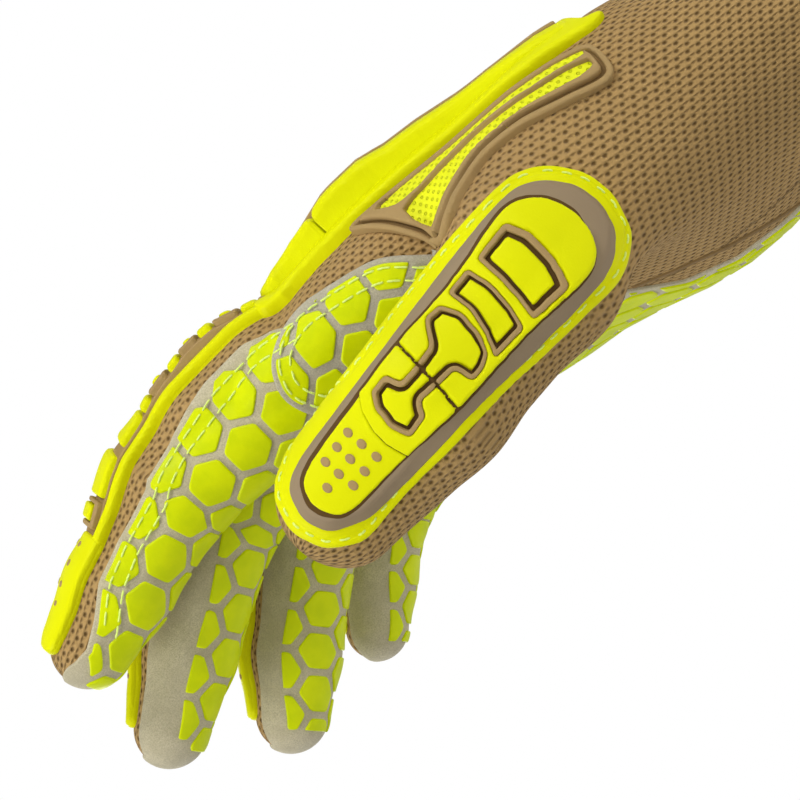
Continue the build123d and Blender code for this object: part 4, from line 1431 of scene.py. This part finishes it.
# Blocks along the crest: kind, start, end. A bracket is a tan frame with a raised middle.
BLOCKS = [("bracket", -0.3, 3.9), ("bar", 4.5, 7.6), ("bracket", 8.3, 12.7), ("bar", 13.4, 16.5),
          ("bracket", 17.2, 21.6), ("bar", 22.3, 25.4), ("bracket", 26.1, 30.4),
          ("bar", 31.0, 33.8), ("bar", 34.6, 40.5), ("bar", 41.8, 48.6), ("bracket", 49.6, 55.2)]
DOT_ROWS = (59.2, 63.2, 67.2, 71.2)
DOT_PLACES = ((-7.4, -3.7, 0.0, 3.7, 7.4), (-7.4, -1.85, 1.85, 7.4))
# Finger, half width as (S, W), length, and scale against the index finger
FINGER_GUARDS = [
    ("index", [(-4, 6.6), (5, 6.6), (20, 6.7), (32, 7.4), (38, 8.8), (43, 10.4), (51, 11.0),
               (61.5, 11.6), (71.2, 11.2), (77.8, 10.6), (84, 9.5)], 80.5, 1.0),
    ("middle", [(-4, 6.6), (10, 7.0), (38, 7.4), (60, 7.4), (84, 6.4)], 84.5, 1.04),
    ("ring", [(-4, 6.4), (10, 6.8), (38, 7.0), (60, 7.0), (84, 5.8)], 79.0, 0.98),
    ("pinky", [(-4, 6.0), (10, 6.4), (34, 6.6), (50, 6.6), (66, 5.6)], 63.0, 0.80)]


def finger_guard(finger, edge, length, scale):
    reach = max(w for _, w in edge) + 1.5
    patch, along, around = grid(on_digit(finger), -4.0, length + 2.0, -reach, reach, 0.42)
    edge = track(along, edge)
    off = np.abs(around)

    def add(kind, field, top, material="tpr", **shape):
        add_raised(f"guard_{kind}{finger}", patch, field, top, material, **shape)

    def crest(data, lift=0.0):
        height = track(data["S"] / scale, CREST) + 0.9 * (1 - ease(0, 8.0, np.abs(data["W"])))
        return height + lift

    def fall(data):
        """Drop of the tip towards its end."""
        return 0.5 * ease(length - 9, length, data["S"])

    base = soft_min(soft_min(edge - off, along + 1.8, 1.2), length - along, 2.2)
    add("", base, 1.3, bevel=0.8, base=-0.2)
    rail = np.minimum(soft_min(base, 2.0 - (edge - off), 0.6), 57.0 * scale - along)
    add("rail_", rail, 2.5, bevel=1.0, base=0.6, rings=ROUND_EDGE)
    half = edge - 2.15
    # a tan bed runs under the blocks and shows in the gaps
    bed = soft_min(half + 0.3 - off, soft_min(along + 1.2, 56.4 * scale - along, 0.8), 0.8)
    add("bed_", np.minimum(bed, base - 0.3), lambda data: crest(data, -1.35), "tan",
        bevel=0.3, base=0.8)
    brackets, bars, nubs = (np.full(len(along), -9.0) for _ in range(3))
    for kind, start, end in BLOCKS:
        centre, reach = (start + end) / 2 * scale, (end - start) / 2 * scale
        inside = reach - np.abs(along - centre)
        block = soft_min(inside, half - off, 0.7)
        if kind == "bracket":
            frame_width = np.maximum(0.95 - inside, 1.3 - (half - off))
            brackets = np.maximum(brackets, np.minimum(block, frame_width))
            nubs = np.maximum(nubs, soft_min(reach - 1.25 - np.abs(along - centre),
                                             half - 1.7 - off, 0.5))
        else:
            bars = np.maximum(bars, block)
    add("bars_", np.minimum(bars, base - 0.3), crest, bevel=0.75, base=1.0, rings=ROUND_EDGE)
    add("brackets_", np.minimum(brackets, base - 0.3), lambda data: crest(data, -0.15), "tan",
        bevel=0.3, base=1.0)
    add("nubs_", nubs, lambda data: crest(data, 0.3), bevel=0.6, base=1.5, rings=ROUND_EDGE)
    tip = soft_min(soft_min(edge - 0.2 - off, along - 56.2 * scale, 0.8),
                   length - 0.3 - along, 2.0)
    add("tip_", tip, lambda data: 2.3 - fall(data), bevel=0.9, base=0.8, rings=ROUND_EDGE)
    narrow = min(1.0, edge.mean() / 10.0)
    centres = [(row * scale, place * narrow) for i, row in enumerate(DOT_ROWS)
               for place in DOT_PLACES[i % 2] if row * scale < length - 5]
    add("dots_", dots(along, around, centres, 0.72), lambda data: 2.45 - fall(data), "tan",
        bevel=0.3, base=1.2, rings=DOT_EDGE)


for guard in FINGER_GUARDS:
    finger_guard(*guard)

# ------------------------------------------------------------------ guards on the back of the hand
# Finger, start and end z, low edge as (z, W), width, height as (z, height), and side: +1 where
# the low edge faces the thumb, -1 where it faces away
BACK_GUARDS = [
    ("index", (81, 171),
     [(78, 37.0), (88, 38.6), (97.5, 40.4), (107, 40.6), (123, 40.4), (135, 41.0), (150, 43.2),
      (163.5, 44.5), (173, 41)], 13.5,
     [(78, 1.7), (88, 2.3), (94, 3.7), (106, 5.3), (120, 6.4), (131, 7.3), (137, 8.6),
      (146, 8.5), (152, 7.5), (156, 7.0), (163, 6.2), (171, 4.6)], 1),
    ("middle", (90, 168), [(88, 19), (168, 19)], 17.0,
     [(88, 3.0), (104, 5.5), (118, 8.0), (129, 9.3), (145, 9.6), (156, 7.5), (168, 4.5)], 1),
    ("ring", (90, 162), [(88, -20), (162, -20.5)], 16.5,
     [(88, 3.0), (104, 5.0), (118, 6.8), (129, 7.8), (143, 8.0), (152, 6.6), (162, 4.0)], -1),
    ("pinky", (88, 152), [(86, -41), (110, -42.5), (152, -41)], 15.0,
     [(86, 3.0), (100, 4.6), (118, 6.0), (136, 6.4), (145, 6.0), (152, 4.0)], -1)]


def back_guard(finger, ends, edge, width, heights, side):
    """A long moulded ridge. The index finger's has a narrow rail and an outer lip."""
    start, end = ends
    index = finger == "index"
    places = [w for _, w in edge]
    low, high = min(places) - 2, max(places) + width + 3
    if side > 0:
        low, high = min(places) - width - 3, max(places) + 2
    patch, along, around = grid(on_hand, start - 3, end + 3, low, high, 0.55)
    across = (track(along, edge) - around) * side
    inside = soft_min(along - start, end - along, 1.0)

    def add(kind, field, top, material="tpr", **shape):
        add_raised(f"back_guard_{kind}{finger}", patch, field, top, material, **shape)

    def tall(data, lift=0.0):
        return track(data["S"], heights) + lift

    def band(left, right, corner):
        """A strip that starts and stops at these distances across."""
        return soft_min(across - left, right - across, corner)

    base = soft_min(soft_min(soft_min(across, width - across, 1.0), inside, 5.0),
                    3.8 + 14.0 * ease(84, 92, along) - across, 1.0) if index else \
        soft_min(soft_min(across, width - across, 1.0), inside, 5.0)
    add("", base, lambda data: np.minimum(3.0, 1.0 + tall(data) * 0.45), bevel=1.1,
        rings=ROUND_EDGE)
    main = soft_min(band(3.6, 9.6 if index else width - 1.0, 1.2), inside - 0.8, 6.0)
    if index:
        main = soft_min(main, along - 87.5, 2.0)
        lip = soft_min(band(10.5, width - 0.2, 0.8), np.minimum(inside - 1.0, along - 91.0), 4.0)
        add("lip_", lip, lambda data: tall(data, -0.3), bevel=1.2, base=1.0, rings=FULL_EDGE)
    # a thin slit crosses the ridge at z = 150
    add("main_", np.minimum(main, np.abs(along - 150) - 0.25), tall, bevel=1.7, base=1.0,
        rings=FULL_EDGE)
    if index:
        line = np.minimum(np.minimum(band(9.2, 10.9, 0.6), along - 90), inside - 1.2)
        add("line_", line, lambda data: tall(data, 0.35), "tan", bevel=0.35, base=1.0)
        return
    line = np.minimum(band(3.2, width - 0.35, 0.6), inside - 1.2)
    add("line_", line, lambda data: np.minimum(3.5, 1.3 + tall(data) * 0.5), "tan",
        bevel=0.35, base=1.0)
    # a plate on the crest, with a second one on top of it
    inlay = soft_min(band(6.2, width - 3.6, 0.8),
                     soft_min(along - (start + 12), 143 - along, 2.0), 2.0)
    add("inlay_", inlay, lambda data: tall(data, 0.25), "bevel", base=2.0)
    add("crest_", inlay - 1.0, lambda data: tall(data, 0.75), bevel=0.6, base=2.0)


for guard in BACK_GUARDS:
    back_guard(*guard)

# ------------------------------------------------------------------ side vent
# Outlines on the hand, as (S, W)
VENT = [(86.6, 42.2), (85.2, 46), (85.3, 50.5), (88, 52.4), (94.9, 53.2), (105.8, 53.2),
        (114.3, 54.4), (121.0, 58.6), (125, 62.2), (128.6, 64.6), (130.8, 62.6), (134.5, 56.4),
        (139.4, 50.4), (146, 44.6), (143, 42.9), (130, 42.6), (120, 42.5), (107, 42.9),
        (94.5, 42.4)]
BACK_WINDOW = [(88.6, 43.6), (88.3, 45.4), (101, 46.9), (117, 47.1), (131.8, 48.8),
               (134.6, 48.6), (139, 45.6), (130, 43.9), (120, 43.7), (107, 44.0), (96, 43.6)]
PALM_WINDOW = [(88.4, 46.6), (88.4, 48.2), (92.7, 49.7), (104.3, 50.3), (115.6, 51.6),
               (121.6, 54.8), (126.6, 58.2), (129.2, 58.0), (132.4, 54.2), (133.2, 50.2),
               (117, 48.2), (101, 47.9)]


def side_vent():
    patch, along, around = grid(on_hand, 83.0, 149.0, 40.5, 68.0, 0.42)
    vent = polygon(along, around, soften(VENT, 2, 0.22))
    windows = np.maximum(polygon(along, around, soften(BACK_WINDOW, 1, 0.2)) + 0.15,
                         polygon(along, around, soften(PALM_WINDOW, 1, 0.2)) + 0.25)
    # vent_base shows only as a dark band in the gap between the outer rim and the frame: knit
    # darkened there as painted shade
    add_raised("vent_base", patch, vent - 1.0, 0.75, "knit_dark", bevel=0.3, base=-0.2)
    add_raised("vent_mesh", patch, windows + 0.5, 1.15, "mesh", bevel=0.2, base=0.3)
    add_raised("vent_frame", patch, np.minimum(vent - 2.0, -windows), 2.4, "tan", bevel=0.6,
               base=0.0, rings=ROUND_EDGE)
    add_raised("vent_outer_rim", patch, np.minimum(vent, 1.25 - vent), 1.8, "tan", bevel=0.6,
               base=-0.1, rings=ROUND_EDGE)


def cuff_seam():
    """The closing seam up the palm side of the cuff."""
    patch, along, around = grid(on_hand, 33.0, 114.0, PALM_W - 2.5, PALM_W + 2.5, 0.5)
    field = soft_min(0.9 - np.abs(around - PALM_W), soft_min(along - 34.0, 113.0 - along, 1.0),
                     0.4)
    add_raised("cuff_seam", patch, field, 0.35, "knit_dark", base=-0.2)


side_vent()
cuff_seam()

# ------------------------------------------------------------------ pull tab on the palm side
# Section of the tab: distance out from the cuff, z
TAB_SECTION = soften([
    (0.2, 8), (0.35, 14), (0.5, 24), (0.6, 30), (1.2, 34.2), (2.6, 35.6), (4.2, 35.0),
    (5.2, 32.5), (5.4, 26), (4.9, 18), (4.0, 12), (3.4, 9), (2.4, 7.2), (1.2, 7.0)])
# Outer face of the tab, under the thread: z, distance out
TAB_FACE = [(7, 2.0), (9, 3.4), (12, 4.0), (18, 4.9), (26, 5.4), (32.5, 5.2), (35, 4.2)]
TAB_HALF, TAB_FLAT = 8.0, 7.2        # half width, and how far it keeps its full section
TAB_STITCH, TAB_PITCH = 1.7, 2.6


def cuff_y(x, z):
    return (np.interp(z, HAND_SECTIONS[0], HAND_SECTIONS[4])
            * np.sqrt(np.maximum(0, 1 - (x / 43.0) ** 2)))


def pull_tab():
    centre = TAB_SECTION.mean(0)
    rows = []
    for x in np.concatenate([[-TAB_HALF, -7.7], np.linspace(-TAB_FLAT, TAB_FLAT, 13),
                             [7.7, TAB_HALF]]):
        end = max(0.0, (abs(x) - TAB_FLAT) / 0.8)
        section = centre + (TAB_SECTION - centre) * np.array([1 - 0.35 * end, 1 - 0.10 * end])
        out, z = section.T
        rows.append(np.stack([np.full(len(z), x), cuff_y(x, z) + out + 0.15, z], 1))
    tab = loft(rows, cap_start=True, cap_end=True)
    if (facing(tab) * (tab.verts - tab.verts.mean(0))).sum() < 0:
        tab.flip()
    add_piece("pull_tab", tab, "binding")


def pull_tab_thread():
    """Stitches up both sides of the tab and across its lower end."""
    def on_face(places):
        x, z = np.array(places).T
        return np.stack([x, cuff_y(x, z) + track(z, TAB_FACE) + 0.2, z], 1)

    starts, ends = [], []
    for x in (-6.6, 6.6):
        for z in np.arange(9.5, 31, TAB_PITCH):
            starts.append((x, z))
            ends.append((x, z + TAB_STITCH))
    for x in np.arange(-6.2, 5.2, TAB_PITCH):
        starts.append((x, 12.0))
        ends.append((x + TAB_STITCH, 12.0))
    add_piece("pull_tab_thread", capsules(on_face(starts), on_face(ends), 0.25), "thread")


# ------------------------------------------------------------------ inside of the glove
def inner_lining(inset_by=2.0, sides=120):
    turn = np.linspace(0, 2 * math.pi, sides, endpoint=False)
    rays = np.stack([np.cos(turn), np.sin(turn), np.zeros(sides)], 1)
    rows = []
    for z in np.concatenate([np.arange(0.3, 80, 2.5), np.arange(80, 158, 3.0)]):
        origins = np.tile([-1.0, 0.0, z], (sides, 1))
        reach = fly(origins, rays, hand_dist, np.full(sides, 20.0), 30)
        rows.append(origins + rays * (reach - inset_by)[:, None])
    lining = loft(rows, cap_end=True)
    lining.flip()
    x, y, z = lining.verts.T
    lining.data.update(ku=z.copy(), kv=np.arctan2(-x, -y) * 34)
    add_piece("inner_lining", lining, "liner")


def hoop(name, material, low, high, inner, outer, wave=0.0, sides=180, rings=14):
    """A band around the cuff with a rounded section; inner and outer are offsets from the knit."""
    turn = np.linspace(0, 2 * math.pi, sides, endpoint=False)
    rows = []
    for k in [*range(rings), 0]:
        angle = 2 * math.pi * k / rings
        out, lift = (math.copysign(abs(v) ** 0.55, v) for v in (math.cos(angle), math.sin(angle)))
        z = (low + high) / 2 + lift * (high - low) / 2
        half, depth = (np.interp(z, HAND_SECTIONS[0], HAND_SECTIONS[i]) for i in (3, 4))
        offset = (inner + outer) / 2 + out * (outer - inner) / 2 + wave * np.sin(turn * 40) * 0.5
        rows.append(np.stack([(half + offset) * np.cos(turn), (depth + offset) * np.sin(turn),
                              np.full(sides, z)], 1))
    add_piece(name, loft(rows), material)


pull_tab()
pull_tab_thread()
inner_lining()
hoop("cuff_hem", "binding", low=0.05, high=6.6, inner=-2.4, outer=1.5)
hoop("wrist_elastic", "elastic", low=35.0, high=47.0, inner=-3.0, outer=-2.1, wave=0.25)

# ------------------------------------------------------------------ CAD nodes the pieces stand for
NODES = list(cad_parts)
replaced = set()


def stands_for(prefix, *names):
    """The first object with this prefix replaces the named nodes that exist and are left."""
    piece = next((made for made in MADE if made.name.startswith(prefix)), None)
    names = [name for name in names if name in NODES and name not in replaced]
    if piece is not None and names:
        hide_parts(*names)
        replaced.update(names)


for finger in FINGERS:
    for bone, cut in (("proximal", "knuckle"), ("middle", "middle"), ("tip", "tip")):
        node = f"{finger}_{bone}"
        stands_for(f"knit_{finger}_{cut}", f"{node}_knit_back")
        stands_for(f"leather_{finger}_{cut}", f"{node}_palm_side")
        stands_for(f"guard_{finger}_{cut}", f"{node}_guard")
        stands_for(f"knit_{finger}_{cut}", f"{node}_guard", f"{node}_palm_side")
for prefix, node in (
        ("knit_cuff", "cuff_knit_sleeve"), ("cuff_hem", "cuff_hem_binding"),
        ("wrist_elastic", "wrist_elastic_band"), ("pull_tab", "cuff_pull_tab"),
        ("knit_hand", "hand_back_knit"), ("leather_hand", "palm_leather"),
        ("inner_lining", "cut_liner"), ("vent_frame", "side_vent_frame"),
        ("vent_mesh", "side_vent_mesh"), ("crotch_patch", "thumb_crotch_patch"),
        ("palm_heel_pad", "palm_heel_patch")):
    stands_for(prefix, node)
for finger in FINGERS:
    stands_for(f"back_guard_{finger}", f"back_guard_{finger}")
stands_for("knit_thumb_base", "thumb_base_knit_back", "thumb_base_palm_side",
           "thumb_proximal_knit_back", "thumb_proximal_palm_side")
stands_for("knit_thumb_tip", "thumb_tip_knit_back", "thumb_tip_palm_side")
stands_for("thumb_guard_flange_thumb_base", "thumb_base_guard", "thumb_proximal_guard")
stands_for("thumb_guard_flange_thumb_tip", "thumb_tip_guard")
stands_for("knit_hand", *NODES)

# ------------------------------------------------------------------ floor
FLOOR_HALF, FLOOR_Z = 4, -0.0005         # metres
scene = bpy.context.scene
pale = bpy.data.materials.new("floor_pale")
pale.use_nodes = True
floor_inputs = pale.node_tree.nodes["Principled BSDF"].inputs
floor_inputs["Base Color"].default_value = (0.86, 0.86, 0.86, 1)
floor_inputs["Roughness"].default_value = 0.6
floor_mesh = bpy.data.meshes.new("floor")
floor_mesh.from_pydata([(x * FLOOR_HALF, y * FLOOR_HALF, FLOOR_Z)
                        for x, y in ((-1, -1), (1, -1), (1, 1), (-1, 1))], [], [(0, 1, 2, 3)])
floor_mesh.materials.append(pale)
floor = bpy.data.objects.new("floor", floor_mesh)
scene.collection.objects.link(floor)

# ------------------------------------------------------------------ camera
PALMWARD, BELOW = math.radians(19), math.radians(-11)   # turn from -X towards +Y, and tilt
ROLL = unit((-0.776, -0.630))            # the view's right, in upright and sideways shares
DISTANCE = 780.0
AIM_RIGHT, AIM_DOWN = 14.509804, 9.803922     # from the index knuckle to the aim
back = (math.cos(BELOW) * np.array([-math.cos(PALMWARD), math.sin(PALMWARD), 0])
        + math.sin(BELOW) * np.array([0, 0, 1.0]))
upright = unit(np.array([0, 0, 1.0]) - back[2] * back)
sideways = np.cross(back, upright)
right = ROLL[0] * upright - ROLL[1] * sideways
up = ROLL[1] * upright + ROLL[0] * sideways
target = BONES["index"][0].start + AIM_RIGHT * right - AIM_DOWN * up
eye = target + DISTANCE * back

lens = bpy.data.cameras.new("camera")
lens.sensor_width = 36
lens.lens = 179.01
lens.clip_start, lens.clip_end = 0.05, 20
camera = bpy.data.objects.new("camera", lens)
pose = Matrix.Identity(4)
for i in range(3):
    pose[i][0], pose[i][1], pose[i][2], pose[i][3] = right[i], up[i], back[i], eye[i] / 1000
camera.matrix_world = pose
scene.collection.objects.link(camera)
scene.camera = camera


# ------------------------------------------------------------------ lights and world
def area(name, offset, size, power):
    """A soft lamp at right, up, towards the camera from the camera's aim, in metres."""
    light = bpy.data.lights.new(name, "AREA")
    light.energy, light.size, light.color = power, size, (1, 1, 1)
    light.shape = "DISK"
    lamp = bpy.data.objects.new(name, light)
    aim = Vector((target / 1000).tolist())
    place = aim + Vector((right * offset[0] + up * offset[1] + back * offset[2]).tolist())
    lamp.location = place
    lamp.rotation_euler = (aim - place).to_track_quat("-Z", "Y").to_euler()
    scene.collection.objects.link(lamp)


area("key", (-0.6, 0.75, 0.75), size=0.6, power=13.0)
area("fill", (0.7, 0.1, 0.9), size=1.0, power=1.4)
area("low", (-0.75, -0.7, 0.3), size=0.5, power=6.5)
area("rim", (-0.2, -0.5, -0.9), size=0.8, power=4.0)

# The camera sees a white world; the glove is lit by a dimmer, slightly blue one
world = bpy.data.worlds.new("studio")
scene.world = world
world.use_nodes = True
nodes, links = world.node_tree.nodes, world.node_tree.links
nodes.clear()
output = nodes.new("ShaderNodeOutputWorld")
path = nodes.new("ShaderNodeLightPath")
mixer = nodes.new("ShaderNodeMixShader")
links.new(path.outputs["Is Camera Ray"], mixer.inputs[0])
for i, color, strength in ((1, (0.97, 0.98, 1.0, 1), 0.41), (2, (1, 1, 1, 1), 1.0)):
    background = nodes.new("ShaderNodeBackground")
    background.inputs[0].default_value = color
    background.inputs[1].default_value = strength
    links.new(background.outputs[0], mixer.inputs[i])
links.new(mixer.outputs[0], output.inputs[0])
scene.view_settings.view_transform = "Standard"
scene.view_settings.look = "None"
